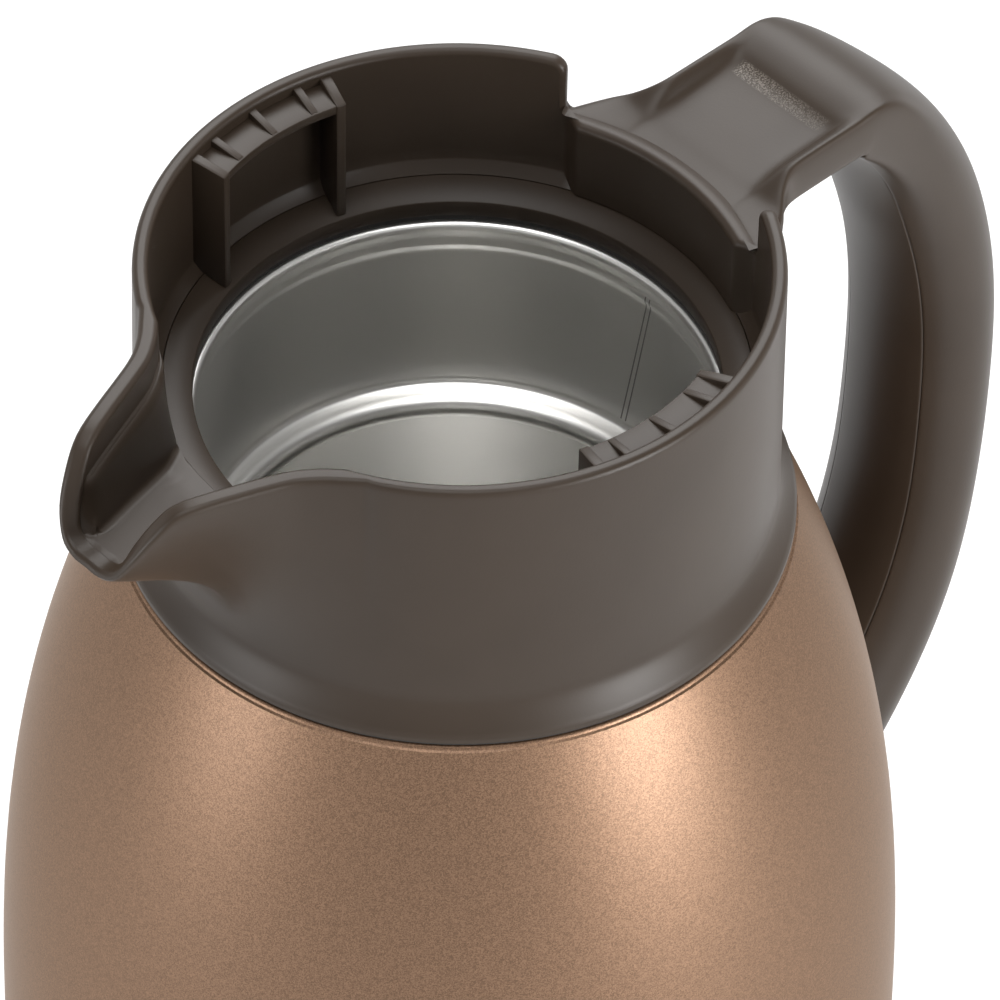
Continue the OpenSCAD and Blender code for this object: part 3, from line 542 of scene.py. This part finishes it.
def collar_ring(angle, base, drop, lean, beak=None):
    """One upright section: rim angle and foot angle from the handle, depth and lean of the rim there.
    beak is the angle from the spout's middle, the share of its reach and the place u."""
    in_notch = angle < notch_half + 0.01 and drop > notch_depth - notch_fillet_r - 0.01
    in_spout = beak is not None
    outer_r = collar_r
    if in_spout:
        spout_angle, reach_share, u = beak
        outer_r = between(collar_r, spout_reach, reach_share)
    pad = 0.0
    if angle < notch_half:
        pad = 1 - eased((angle - notch_half + pad_taper) / pad_taper)
    inner_r = between(wall_r, pad_r, pad)
    inner_round = between(rim_round, pad_round, pad)
    upper = shelf_edge = lower = toe = (inner_r, None)
    rim_width = outer_r - inner_r
    lip = 1.0
    floor_here = channel_floor_depth
    if in_spout:
        upper, shelf_edge, lower, toe = [line_at(line, u) for line in channel_lines]
        narrow = eased((step_depth - drop) / step_fade)
        shelf_edge = tuple(between(a, b, narrow) for a, b in zip(upper, shelf_edge))
        fan_turn = toe[1]
        if u < fan_end:
            fan_turn = 180 - (180 - line_at(channel_lines[-1], fan_end)[1]) * u / fan_end
        a, b = math.radians(angle), math.radians(upper[1])
        rim_width = math.hypot(outer_r * math.cos(a) - upper[0] * math.cos(b),
                               outer_r * math.sin(a) - upper[0] * math.sin(b))
        floor_here = channel_floor(-lower[0] * math.cos(math.radians(lower[1])))
        lip = min(max((floor_here - drop) / lip_fade, 0.0), 1.0)
    outer_round = min(rim_round, round_share * rim_width)
    inner_width = min(inner_round, round_share * rim_width) * between(lip_least, 1, lip)
    inner_round = inner_round * lip
    rows = []
    tilt_in, tilt_down = math.sin(math.radians(lean)), math.cos(math.radians(lean))

    def put(r, depth, turn):
        rows.append((r, depth, turn))

    def sunk(across, sink):
        """A point of the rounded rim, this far inwards from its outside and this far below its crest."""
        share = across / rim_width
        turn = between(angle, upper[1], share) if in_spout else angle
        put(between(outer_r, upper[0], share), drop + sink * tilt_down,
            turn + math.degrees(sink * tilt_in / collar_r))

    # Up the outside: the foot's rounded edge, the flare, and the wall or the beak
    for r, depth in ((foot_r - 0.3, foot_depth), (foot_r, foot_depth - 0.25), (foot_r, foot_depth - 0.7)):
        put(r, depth, base)
    for depth in spaced(flare_end_depth, crease_depth, 8):
        put(wall_outside(depth), depth, base)
    edge_depth = drop + rim_round * tilt_down
    edge_angle = angle + math.degrees(rim_round * tilt_in / collar_r)
    if in_notch:
        edge_depth, edge_angle = drop + lip_fall + 0.1, angle
    for k in range(20, 0, -1):
        share = (k / 20) ** 1.5
        depth = between(edge_depth, spout_foot_depth, share)
        r = wall_outside(depth)
        if in_spout:
            power = between(keel_power, flank_power, eased(spout_angle / flank_angle))
            r += (outer_r - collar_r) * (1 + math.cos(math.pi * share ** power)) / 2
        put(r, depth, between(edge_angle, base, min((depth - edge_depth) / (fan_depth - edge_depth), 1.0)))
    # Over the rim: a lip that falls outwards in the notch, and a round everywhere else
    if in_notch:
        for share in spaced(0, 1, 6):
            put(between(collar_r, collar_r - lip_width, share), drop + lip_fall * (1 - eased(share)), angle)
    else:
        for turn in (0, 18, 36, 54, 72, 86, 90):
            sink = rim_round * (1 - math.sin(math.radians(turn)))
            sunk(outer_round * (1 - math.cos(math.radians(turn))), sink)
    for turn in (90, 105, 120, 138, 156, 172, 180):
        sink = inner_round * (1 - math.sin(math.radians(turn)))
        sunk(rim_width - inner_width * (1 + math.cos(math.radians(turn))), sink)
    top_depth = drop + inner_round * tilt_down
    top_angle = angle + math.degrees(inner_round * tilt_in / collar_r)

    def inside(r, depth, turn=None):
        if turn is None:
            share = min(max((depth - top_depth) / (fan_depth - top_depth), 0.0), 1.0)
            turn = between(top_angle, base, share)
        elif r > wall_r + 0.2:
            depth = min(depth, channel_floor(-r * math.cos(math.radians(turn))))
        put(r, max(depth, top_depth), turn)

    def from_to(one, other, share, depth):
        """A point on the way from one (radius, angle) to the other."""
        inside(between(one[0], other[0], share), depth,
               between(one[1], other[1], share) if in_spout else None)

    # Down the inside: the step, the flank with its fillet, and the channel's floor
    shelf = max(step_depth, top_depth + 2 * step_round)
    if in_spout:
        shelf = min(shelf, floor_here)
    shelf_width = max(upper[0] - shelf_edge[0], step_width * narrow) if in_spout else 0
    corner = min(step_round / shelf_width, 0.5) if shelf_width > 0.01 else 0.0
    for share in (0.35, 0.7):
        from_to(upper, upper, 0, between(top_depth, shelf - step_round, share))
    from_to(upper, upper, 0, shelf - step_round)
    from_to(upper, shelf_edge, corner, shelf)
    from_to(upper, shelf_edge, 1 - corner, shelf)
    foot = max(floor_here - (floor_fillet if in_spout else 0), shelf)
    shelf_end = min(shelf + step_round, foot)
    for share in spaced(0, 1, 5):
        from_to(shelf_edge, lower, share, between(shelf_end, foot, share))
    toe_depth = channel_floor_depth
    if in_spout:
        toe_depth = max(channel_floor(-toe[0] * math.cos(math.radians(toe[1]))), drop)
    for turn in (20, 45, 70, 90):
        turn = math.radians(turn)
        from_to(lower, toe, 1 - math.cos(turn), between(foot, toe_depth, math.sin(turn)))
    for share in (0.15, 0.35, 0.55, 0.75, 0.9):
        if not in_spout:
            inside(inner_r, channel_floor_depth)
            continue
        r, turn = between(toe[0], wall_r, share), between(toe[1], fan_turn, share)
        inside(r, max(channel_floor(-r * math.cos(math.radians(turn))), drop), turn)
    # Down the opening: the ledge over the seat ring, the flange, the thread's bore, and out to the foot
    open_r = wall_r if in_spout else inner_r
    open_turn = fan_turn if in_spout else None
    ledge_top = min(ledge_start_depth + (wall_r - inner_r) * ledge_slope, ledge_end_depth)
    inside(open_r + (0.12 if in_spout else 0), channel_floor_depth + 0.04, open_turn)
    inside(open_r, channel_floor_depth + 0.16, open_turn)
    inside(open_r, channel_floor_depth + 0.6, open_turn)
    inside(open_r, ledge_top - 0.25, open_turn)
    inside(open_r - 0.15 * (1 - pad), between(ledge_top + 0.1, ledge_end_depth - 0.05, pad), open_turn)
    inside(min(open_r, ledge_r + 0.15), ledge_end_depth - between(0.16, 0.05, pad), open_turn)
    inside(ledge_r, ledge_end_depth, open_turn)
    inside(ledge_r, flange_depth)
    inside(thread_r, flange_depth)
    inside(thread_r, thread_depth)
    inside(foot_inner_r, foot_depth)
    inside(foot_r - 0.3, foot_depth)
    return [(r * math.cos(math.radians(turn)), r * math.sin(math.radians(turn)), rim_z - depth)
            for r, depth, turn in rows]


half_collar = []
for angle in (0, 2.5, 5, 7.5, 10, 12.5, 15, 17.5, 20, 21.5, 22.5, 23, 23.5, 24, 24.5, 25, 25.5, 26):
    half_collar.append(collar_ring(angle, angle, notch_depth, 0))
for turn, base in ((10, 26.3), (40, 26.5), (70, 26.7)):
    bend = math.radians(turn)
    half_collar.append(collar_ring(
        notch_half - math.degrees(notch_fillet_r / wall_r) * (1 - math.sin(bend)), base,
        notch_depth - notch_fillet_r * (1 - math.cos(bend)), turn))
for depth, base in ((8.1, 27.0), (6.2, 27.4), (4.2, 27.8), (2.4, 28.2)):
    half_collar.append(collar_ring(notch_half, base, depth, 90))
for turn, base in ((78, 28.6), (62, 29.0), (46, 29.4), (30, 29.8), (15, 30.2), (0, 30.6)):
    bend = math.radians(turn)
    half_collar.append(collar_ring(
        notch_half + math.degrees(notch_corner_r / wall_r) * (1 - math.sin(bend)), base,
        notch_corner_r * (1 - math.cos(bend)), turn))
for angle in spaced(31.5, 148.0, 59):
    half_collar.append(collar_ring(angle, angle, 0, 0))
for j in range(44, -1, -1):
    here = spout_at(j / 4)
    half_collar.append(collar_ring(180 - here[0], 180 - here[0], spout_drop * max(here[2], 0.0), 0,
                                   (here[0], here[1], j / 4)))
other_half = [[(x, -y, z) for x, y, z in ring] for ring in reversed(half_collar[1:-1])]

ring_gap = 0.00001


def skin_of_rings(name, rings):
    """A closed skin through rings of points, rolled up from a flat grid of faces."""
    bpy.ops.object.select_all(action="DESELECT")
    bpy.ops.mesh.primitive_grid_add(
        x_subdivisions=len(rings) - 1, y_subdivisions=len(rings[0]) - 1, size=1)
    skin = bpy.context.active_object
    skin.name = name
    for i, vertex in enumerate(skin.data.vertices):
        vertex.co = Vector(rings[i % len(rings)][i // len(rings)]) * mm
    bpy.ops.object.mode_set(mode="EDIT")
    bpy.ops.mesh.select_all(action="SELECT")
    bpy.ops.mesh.remove_doubles(threshold=ring_gap)
    bpy.ops.mesh.normals_make_consistent(inside=False)
    bpy.ops.object.mode_set(mode="OBJECT")
    return skin


collar = skin_of_rings("collar_moulding", half_collar + other_half + [half_collar[0]])


def joined(whole, pieces):
    """The pieces become part of the whole."""
    bpy.ops.object.select_all(action="DESELECT")
    for piece in pieces:
        piece.select_set(True)
    whole.select_set(True)
    bpy.context.view_layer.objects.active = whole
    bpy.ops.object.join()


# Latch windows: a ribbed roof on two posts at each side, for the hooks of the lid
window_r = 37.0
window_out_r = collar_r - 1.1
window_half = 17.8
roof_depth = 2.3
roof_t = 1.5
post_turn = 2.32
post_foot_depth = 23.1
rib_turn = 1.7
rib_spacing = 10.5
lap = 0.1
window_blocks = []


def window_block(name, points, start, end, edge, steps):
    """One block of a window, swept from points of radius and depth below the rim."""
    window_blocks.append(turned(name, [(r, rim_z - depth) for r, depth in points], start, end, edge, steps))


for middle in (90, -90):
    low, high = middle - window_half, middle + window_half
    window_block("window_roof", [
        (window_r + 0.2, roof_depth), (window_r + 0.2, roof_depth + roof_t),
        (window_out_r, roof_depth + roof_t), (window_out_r, roof_depth)],
        low + post_turn / 2, high - post_turn / 2, 0.2, 16)
    for start in (low, high - post_turn):
        window_block("window_post", [
            (window_r, post_foot_depth), (window_r, roof_depth - lap), (window_out_r, rim_round),
            (window_out_r, ledge_end_depth - lap), (ledge_r, ledge_end_depth - lap)],
            start, start + post_turn, 0.25, 2)
    for turn in (-rib_spacing, 0, rib_spacing):
        window_block("window_rib", [
            (window_r + 0.4, roof_depth + roof_t / 2), (window_r + 0.4, roof_depth - lap),
            (window_out_r, rim_round), (window_out_r, roof_depth + roof_t / 2)],
            middle + turn - rib_turn / 2, middle + turn + rib_turn / 2, 0.15, 2)


def rod(r, start_x, end_x, depth, vertices=48):
    """A round bar that points to the handle's side, at this depth below the rim."""
    bpy.ops.object.select_all(action="DESELECT")
    bpy.ops.mesh.primitive_cylinder_add(
        vertices=vertices, radius=r * mm, depth=(end_x - start_x) * mm, rotation=(0, math.pi / 2, 0),
        location=((start_x + end_x) / 2 * mm, 0, (rim_z - depth) * mm))
    return bpy.context.active_object


def bored(piece, *hole):
    """A round hole along the handle's side is drilled out of the piece."""
    drill = rod(*hole)
    bpy.context.view_layer.objects.active = piece
    bpy.ops.object.modifier_add(type="BOOLEAN")
    piece.modifiers[-1].object = drill
    bpy.ops.object.modifier_apply(modifier=piece.modifiers[-1].name)
    bpy.data.objects.remove(drill)


# The two holes for the handle's screws
screw_depths = (20, 31)
screw_hole_r = 1.55
bored(collar, screw_hole_r, pad_r + 0.2, collar_r + 2, screw_depths[0])
bored(collar, screw_hole_r, thread_r - 0.5, collar_r + 2, screw_depths[1])
joined(collar, window_blocks)
in_place(collar, "collar")

# The plastic: taupe, with a fine spark-eroded grain, and a coarser strip where a thumb rests on the bridge.
# On that strip's speckles a painted highlight lightens the colour, more towards one side.
thumb_x = 0.0612
thumb_half_x = 0.0014
thumb_half_y = 0.0088
thumb_floor_z = 0.225
thumb_edge_x = 3000
thumb_edge_y = 1200
moulding, tree = new_material("moulding")
place = place_in(tree)
axes = add_node(tree, "ShaderNodeSeparateXYZ", {0: place}).outputs
fine_grain = add_node(tree, "ShaderNodeTexNoise", {"Vector": place, "Scale": 3000, "Detail": 3})
coarse_grain = add_node(tree, "ShaderNodeTexNoise", {
    "Vector": place, "Scale": 4200, "Detail": 2, "Roughness": 0.7})
clouds = add_node(tree, "ShaderNodeTexNoise", {"Vector": place, "Scale": 45, "Detail": 3})
taupe = colour_ramp(
    tree, clouds.outputs[0], (0.3, (0.034, 0.0232, 0.0155, 1)), (0.7, (0.041, 0.0285, 0.0197, 1)))
off_x = result(tree, "ABSOLUTE", result(tree, "SUBTRACT", axes["X"], thumb_x))
off_y = result(tree, "ABSOLUTE", axes["Y"])
in_x = result(tree, "MULTIPLY", result(tree, "SUBTRACT", thumb_half_x, off_x), thumb_edge_x, clamp=True)
in_y = result(tree, "MULTIPLY", result(tree, "SUBTRACT", thumb_half_y, off_y), thumb_edge_y, clamp=True)
thumb_grain_and_highlight = result(tree, "MULTIPLY", result(tree, "MULTIPLY", in_x, in_y),
                     result(tree, "GREATER_THAN", axes["Z"], thumb_floor_z))
speckle = result(tree, "MULTIPLY", result(tree, "SUBTRACT", coarse_grain.outputs[0], 0.46), 6, clamp=True)
grain_and_highlight_speckle = result(tree, "MULTIPLY", thumb_grain_and_highlight, speckle)
relief = result(tree, "ADD", fine_grain.outputs[0], result(tree, "MULTIPLY", grain_and_highlight_speckle, 4))
# Painted highlight: the strip's speckles are lightened towards a pale taupe, stronger on one side of the
# bridge than the other
highlight_side_fade = result(tree, "ADD", result(tree, "MULTIPLY", axes["Y"], 40), 0.6, clamp=True)
painted_highlight_colour = add_node(tree, "ShaderNodeMix", {
    "Factor": result(tree, "MULTIPLY", grain_and_highlight_speckle, highlight_side_fade), "A": taupe, "B": (0.23, 0.2, 0.17, 1)},
    data_type="RGBA")
surface(tree, relief, strength=0.1, depth=0.0001, level=0.4, spread=0.1, values={
    "Base Color": painted_highlight_colour.outputs["Result"], "Specular IOR Level": 0.28})
finish_with(collar, moulding)

# Seat ring: a plastic ring snapped into the collar over the steel lip, with a sloping seat for the lid.
# Under it a rubber gasket is squeezed onto the lip, and a thin rubber seal lies under the collar's foot.
seat_r = 36.5
seat_out_r = 40.6
seat_z = rim_z - ledge_end_depth
seat_fall = 1.5
seat_t = 2.6
skirt_r = 39.4
seat_foot_z = seat_z - seat_fall - seat_t
seat = turned("seat_moulding", [
    (seat_r, seat_z - seat_fall), (seat_out_r, seat_z), (seat_out_r, rim_z - flange_depth),
    (skirt_r, rim_z - flange_depth), (skirt_r, seat_foot_z), (seat_r, seat_foot_z)], edge=0.15)
in_place(seat, "seat_ring")
finish_with(seat, moulding)

# Handle: one hollow loop moulded in the same plastic, open on the finger side until its strip goes in.
# Its saddle is screwed to the collar and its tail to a bracket on the body.
root_x = 43.4
root_lap = 1.8
bridge_end_x = 67.0
bridge_top_depth = 6.1
bridge_t = 7.2
bridge_w = 25.0
bridge_mid_depth = bridge_top_depth + bridge_t / 2
grip_x = 93.7
grip_depth = 73.0
grip_t = 18.2
grip_w = 24.8
tail_depth = 153.0
tail_turn = math.radians(50)
tail_gap = 0.02
# How far the middle line keeps its direction at the crest, above and below the grip, and at the tail
crest_pull = 4
grip_pull_up = 40.6
grip_pull_down = 41.4
tail_pull = 35
shell_t = 2.2
opening_w = 15.0
bridge_shares = (0, 0.076, 0.14, 0.275, 0.39, 0.59, 0.771, 0.831, 0.915)
curve_steps = 12
blend_start = 8
blend_length = 9
recess_end = 6
# Ring, and share of the way from the bridge's thickness to the grip's
thickening = ((8, 0), (9, 0.1), (11, 0.4), (13, 0.56), (15, 0.76), (17, 0.97), (19, 1),
              (22, 0.97), (24, 0.95), (27, 1.08), (30, 1.2), (33, 1.25))
rail_w = 2.9
rail_round = 0.8
rail_swell = 0.3
rail_height_root = 3.3
rail_height_end = 1.8
plate_t = 2.2
root_flare = 7.8
root_dip = 3.1
dip_length = 8.0
inside_corner = 0.3
crisp_share = 0.95
tail_blend = 20.0


def bezier(p, t):
    return tuple((1 - t) ** 3 * a + 3 * t * (1 - t) ** 2 * b + 3 * t * t * (1 - t) * c + t ** 3 * d
                 for a, b, c, d in zip(*p))


crest_curve = [(bridge_end_x, -bridge_mid_depth), (bridge_end_x + crest_pull, -bridge_mid_depth),
               (grip_x, grip_pull_up - grip_depth), (grip_x, -grip_depth)]
lower_curve = [(grip_x, -grip_depth), (grip_x, -grip_depth - grip_pull_down),
               (belly_r + tail_pull * math.cos(tail_turn), tail_pull * math.sin(tail_turn) - tail_depth),
               (belly_r, -tail_depth)]
middle_line = ([(between(root_x, bridge_end_x, share), -bridge_mid_depth) for share in bridge_shares]
               + [bezier(crest_curve, k / curve_steps) for k in range(curve_steps)]
               + [bezier(lower_curve, k / curve_steps) for k in range(curve_steps + 1)])
last = len(middle_line) - 1


def grip_share(i):
    return eased((i - blend_start) / blend_length)


def half_thickness(i):
    share = thickening[0][1]
    for (a, from_share), (b, to_share) in zip(thickening, thickening[1:]):
        if i > a:
            share = between(from_share, to_share, min((i - a) / (b - a), 1))
    return between(bridge_t, grip_t, share) / 2


def half_width(i):
    flare = max(1 - (middle_line[i][0] - root_x) / root_flare, 0) ** 2
    return between(bridge_w, grip_w, grip_share(i)) / 2 + root_flare * flare


def recess(i):
    """How deep the bridge's floor lies between its rails; it ends in a curved ramp."""
    ramp = {recess_end: 0.9, recess_end + 1: 0.4, recess_end + 2: 0.06}
    if i > recess_end + 2:
        return 0
    return between(rail_height_root, rail_height_end, min(i / recess_end, 1)) * ramp.get(i, 1)


def bridge_outside(a, b, i):
    """Half of the bridge's section from the middle of its floor over the rail: across and outwards."""
    floor_w, floor_n = bridge_w / 2 - rail_w, a - recess(i)
    top = a - root_dip * (1 - eased((middle_line[i][0] - root_x) / dip_length))
    return [(0, floor_n), (0.55 * floor_w, floor_n), (floor_w, floor_n),
            (floor_w + rail_round, between(floor_n, top, 0.6)),
            (floor_w + 2.4 * rail_round, top + rail_swell / 3),
            (b - rail_round / 4, top + rail_swell / 2), (b + rail_swell, top - rail_round),
            (b + rail_swell / 2, -a + rail_round), (b - rail_round / 2, -a), (b - shell_t, -a)]


def bridge_inside(a, b, i):
    """The same for the hollow side, from under the middle of the floor down to the opening's edge."""
    ceiling, w, corner = a - recess(i) - plate_t, b - shell_t, inside_corner
    return [(0, ceiling), (0.4 * w, ceiling), (0.7 * w, ceiling), (0.85 * w, ceiling),
            (0.93 * w, ceiling - corner / 6), (w - corner, ceiling - corner / 2),
            (w - corner / 3, ceiling - corner), (w, between(ceiling, -a, 0.4)),
            (w, between(ceiling, -a, 0.65)), (w, between(ceiling, -a, 0.9))]


def grip_half(a, b):
    """Half of the grip's oval section, from its outermost point round to the opening's edge."""
    stop = math.pi - math.asin(opening_w / 2 / b)
    return [(b * math.sin(k / 9 * stop), a * math.cos(k / 9 * stop)) for k in range(10)]


def on_handle(i, across, outwards):
    """A point of a section, put in its place on the handle's middle line."""
    (ax, az), (bx, bz) = middle_line[max(i - 1, 0)], middle_line[min(i + 1, last)]
    length = math.hypot(bx - ax, bz - az)
    x, z = middle_line[i]
    tail = max(0, 1 - math.dist(middle_line[i], middle_line[last]) / tail_blend)
    z += between((bx - ax) / length, -1 / math.cos(tail_turn), tail) * outwards
    x += between((az - bz) / length, 0, tail) * outwards
    if i == 0:
        x = math.sqrt((wall_outside(-z) - root_lap) ** 2 - across ** 2)
    if i == last:
        x = math.sqrt((body_radius(rim_z + z) + tail_gap) ** 2 - across ** 2)
    return x, across, rim_z + z


def both_sides(half):
    """A half section after its mirror image, as one line from edge to edge."""
    return [(-x, n) for x, n in half[:0:-1]] + half


def handle_ring(i):
    """One section of the hollow handle, between the bridge's shape and the grip's."""
    a, b = half_thickness(i), half_width(i)
    outside = [[between(p, q, grip_share(i)) for p, q in zip(*pair)]
               for pair in zip(bridge_outside(a, b, i), grip_half(a, b))]
    inside = [[between(p, q, grip_share(i)) for p, q in zip(*pair)]
              for pair in zip(bridge_inside(a, b, i), grip_half(a - shell_t, b - shell_t))]
    for half in (outside, inside):
        half.insert(9, [between(p, q, crisp_share) for p, q in zip(*half[8:10])])
    return [on_handle(i, *p) for p in both_sides(outside) + both_sides(inside)[::-1]]


def halfway(ring, other, share=0.5):
    return [tuple(between(a, b, share) for a, b in zip(p, q)) for p, q in zip(ring, other)]


def capped(rings):
    """The rings with a closed end wall at each end, and a close ring beside each that keeps it crisp."""
    first, final = rings[0], rings[-1]
    return ([halfway(first, first[::-1]), halfway(first, first[::-1], 0.08), first,
             halfway(first, rings[1], 0.12)] + rings[1:-1]
            + [halfway(final, rings[-2], 0.06), final, halfway(final, final[::-1], 0.08),
               halfway(final, final[::-1])])


def smoothed(piece):
    bpy.ops.object.modifier_add(type="SUBSURF")
    piece.modifiers[-1].levels = 2
    bpy.ops.object.modifier_apply(modifier=piece.modifiers[-1].name)


handle = skin_of_rings("handle_moulding", [
    ring + [ring[0]] for ring in capped([handle_ring(i) for i in range(last + 1)])])
smoothed(handle)
sliver_gap = 0.000002


def drilled(piece, *hole):
    """A hole whose rim is left without sliver faces."""
    bored(piece, *hole)
    piece.select_set(True)
    bpy.ops.object.mode_set(mode="EDIT")
    bpy.ops.mesh.select_all(action="SELECT")
    bpy.ops.mesh.quads_convert_to_tris(ngon_method="BEAUTY")
    bpy.ops.mesh.remove_doubles(threshold=sliver_gap)
    bpy.ops.mesh.dissolve_degenerate(threshold=sliver_gap)
    bpy.ops.object.mode_set(mode="OBJECT")


# Saddle: the curved block under the bridge that the two screws hold against the collar
saddle_gap = 0.05
saddle_r = collar_r + collar_draft + saddle_gap
saddle_t = 4.6
saddle_half = 13.5
saddle_top_z = rim_z - bridge_top_depth - rail_height_root - plate_t / 2
saddle_foot_z = rim_z - 36
head_hole_r = 3.2
head_sink = 2.05
saddle = turned("handle_saddle", [
    (saddle_r, saddle_foot_z), (saddle_r + saddle_t, saddle_foot_z),
    (saddle_r + saddle_t, saddle_top_z), (saddle_r, saddle_top_z)],
    -saddle_half, saddle_half, edge=0.7, steps=14)
for depth in screw_depths:
    drilled(saddle, screw_hole_r, saddle_r - 1, saddle_r + saddle_t, depth)
    drilled(saddle, head_hole_r, saddle_r + saddle_t - head_sink, saddle_r + saddle_t + 1, depth)
joined(handle, [saddle])

# Tail: a hollow boss takes the third screw, and the hole above its head goes through to the outside
tail_screw_depth = 150.0
boss_r = 5.5
boss_start_x = 71.5
tail_web_t = 3.0
tail_hole_r = 4.0
tail_skin_x = min(on_handle(i, 0, half_thickness(i))[0] for i in range(last - 3, last)
                  if abs(on_handle(i, 0, half_thickness(i))[2] - rim_z + tail_screw_depth) < 2 * boss_r)
boss = rod(boss_r, boss_start_x, tail_skin_x - 1, tail_screw_depth)
bpy.ops.object.transform_apply(location=True, rotation=True, scale=True)
joined(handle, [boss])
drilled(handle, screw_hole_r, boss_start_x - 1, boss_start_x + tail_web_t + 1, tail_screw_depth)
drilled(handle, tail_hole_r, boss_start_x + tail_web_t, belly_r + tail_pull, tail_screw_depth)
in_place(handle, "handle")
finish_with(handle, moulding)

# Strip: a thin curved strip snapped into the handle's open side
strip_start = 3
strip_t = 1.8


def strip_ring(i):
    """One section of the strip, which lies inside the handle's outline and fills its opening."""
    a, b = half_thickness(i), half_width(i)
    stop = math.pi - math.asin(opening_w / 2 / (b - shell_t))
    half = between(b - shell_t, (b - shell_t) * math.sin(stop), grip_share(i))
    across = [share * half for share in (-1, -0.985, -0.75, -0.4, 0, 0.4, 0.75, 0.985, 1)]
    outside = [(x, between(-a, -a * math.sqrt(1 - (x / b) ** 2), grip_share(i))) for x in across]
    return [on_handle(i, *p) for p in outside + [(x, n + strip_t) for x, n in outside[::-1]]]


strip = skin_of_rings("handle_strip", [
    ring + [ring[0]] for ring in capped([strip_ring(i) for i in range(strip_start, last + 1)])])
smoothed(strip)
in_place(strip, "handle_cover")
finish_with(strip, moulding)

# Plug: a small disc pressed into the hole above the tail's screw
plug_r = 3.95
plug_start_x = 76.4
plug_t = 1.6
plug = rod(plug_r, plug_start_x, plug_start_x + plug_t, tail_screw_depth, 64)
plug.name = "tail_hole_plug"
bpy.ops.object.transform_apply(location=True, rotation=True, scale=True)
bpy.ops.object.mode_set(mode="EDIT")
bevel_sharp_edges(0.3, 3)
bpy.ops.object.mode_set(mode="OBJECT")
in_place(plug, "tail_plug")
finish_with(plug, moulding)

# Base: a moulded cup snapped under the steel body, with a rubber ring in its groove to stand on.
# Inside it are the body's steel bottom with the cap that seals the vacuum, and above that the getter.
cup_floor_z = 1.6
cup_floor_t = 1.8
cup_edge = 1.6
cup_edge_line = ((1.5, 0), (0.9, 0.12), (0.4, 0.42), (0.1, 0.95), (0, 1.6))
foot_in_r = 50.0
foot_out_r = 54.0
groove_z = 2.4
cup_rim_r = base_r - 1.7
cup_rim_t = 1.6
cup_rim_z = base_z + 3
cup = turned("base_cup", [
    (0, cup_floor_z), (foot_in_r, cup_floor_z), (foot_in_r, groove_z), (foot_out_r, groove_z),
    (foot_out_r, cup_floor_z)]
    + [(base_r - inwards * cup_edge, cup_floor_z + up * cup_edge) for inwards, up in cup_edge_line]
    + [(base_r, base_z), (cup_rim_r, base_z), (cup_rim_r, cup_rim_z), (cup_rim_r - cup_rim_t, cup_rim_z),
       (cup_rim_r - cup_rim_t, cup_floor_z + cup_floor_t), (0, cup_floor_z + cup_floor_t)])
in_place(cup, "base_cover")
finish_with(cup, moulding)


def dressed(nodes, material):
    """CAD nodes whose shape is right keep it, and get this material."""
    for node in nodes:
        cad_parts[node].data.materials.clear()
        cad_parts[node].data.materials.append(material)


def plain_finish(name, base, metallic, level, spread, grain_scale, grain_strength):
    """A material with a fine grain and handling marks, for the small and hidden pieces."""
    material, tree = new_material(name)
    grain = add_node(tree, "ShaderNodeTexNoise", {
        "Vector": place_in(tree), "Scale": grain_scale, "Detail": 4})
    surface(tree, grain.outputs[0], grain_strength, 0.0002, level, spread, {
        "Base Color": base, "Metallic": metallic})
    return material


seal_rubber = plain_finish("seal_rubber", (0.022, 0.02, 0.018, 1), 0, 0.7, 0.15, 1800, 0.2)
hidden_steel = plain_finish("hidden_steel", (0.55, 0.54, 0.52, 1), 1, 0.42, 0.2, 600, 0.15)
foil = plain_finish("foil", (0.77, 0.77, 0.76, 1), 1, 0.25, 0.15, 160, 0.6)
screw_steel = plain_finish("screw_steel", (0.6, 0.59, 0.57, 1), 1, 0.3, 0.15, 900, 0.12)
dressed(("neck_gasket", "shoulder_seal", "foot_ring"), seal_rubber)
dressed(("shell_bottom", "getter", "vacuum_seal", "tail_bracket"), hidden_steel)
dressed(("heat_shield",), foil)
dressed(("saddle_screw_upper", "saddle_screw_lower", "tail_screw"), screw_steel)
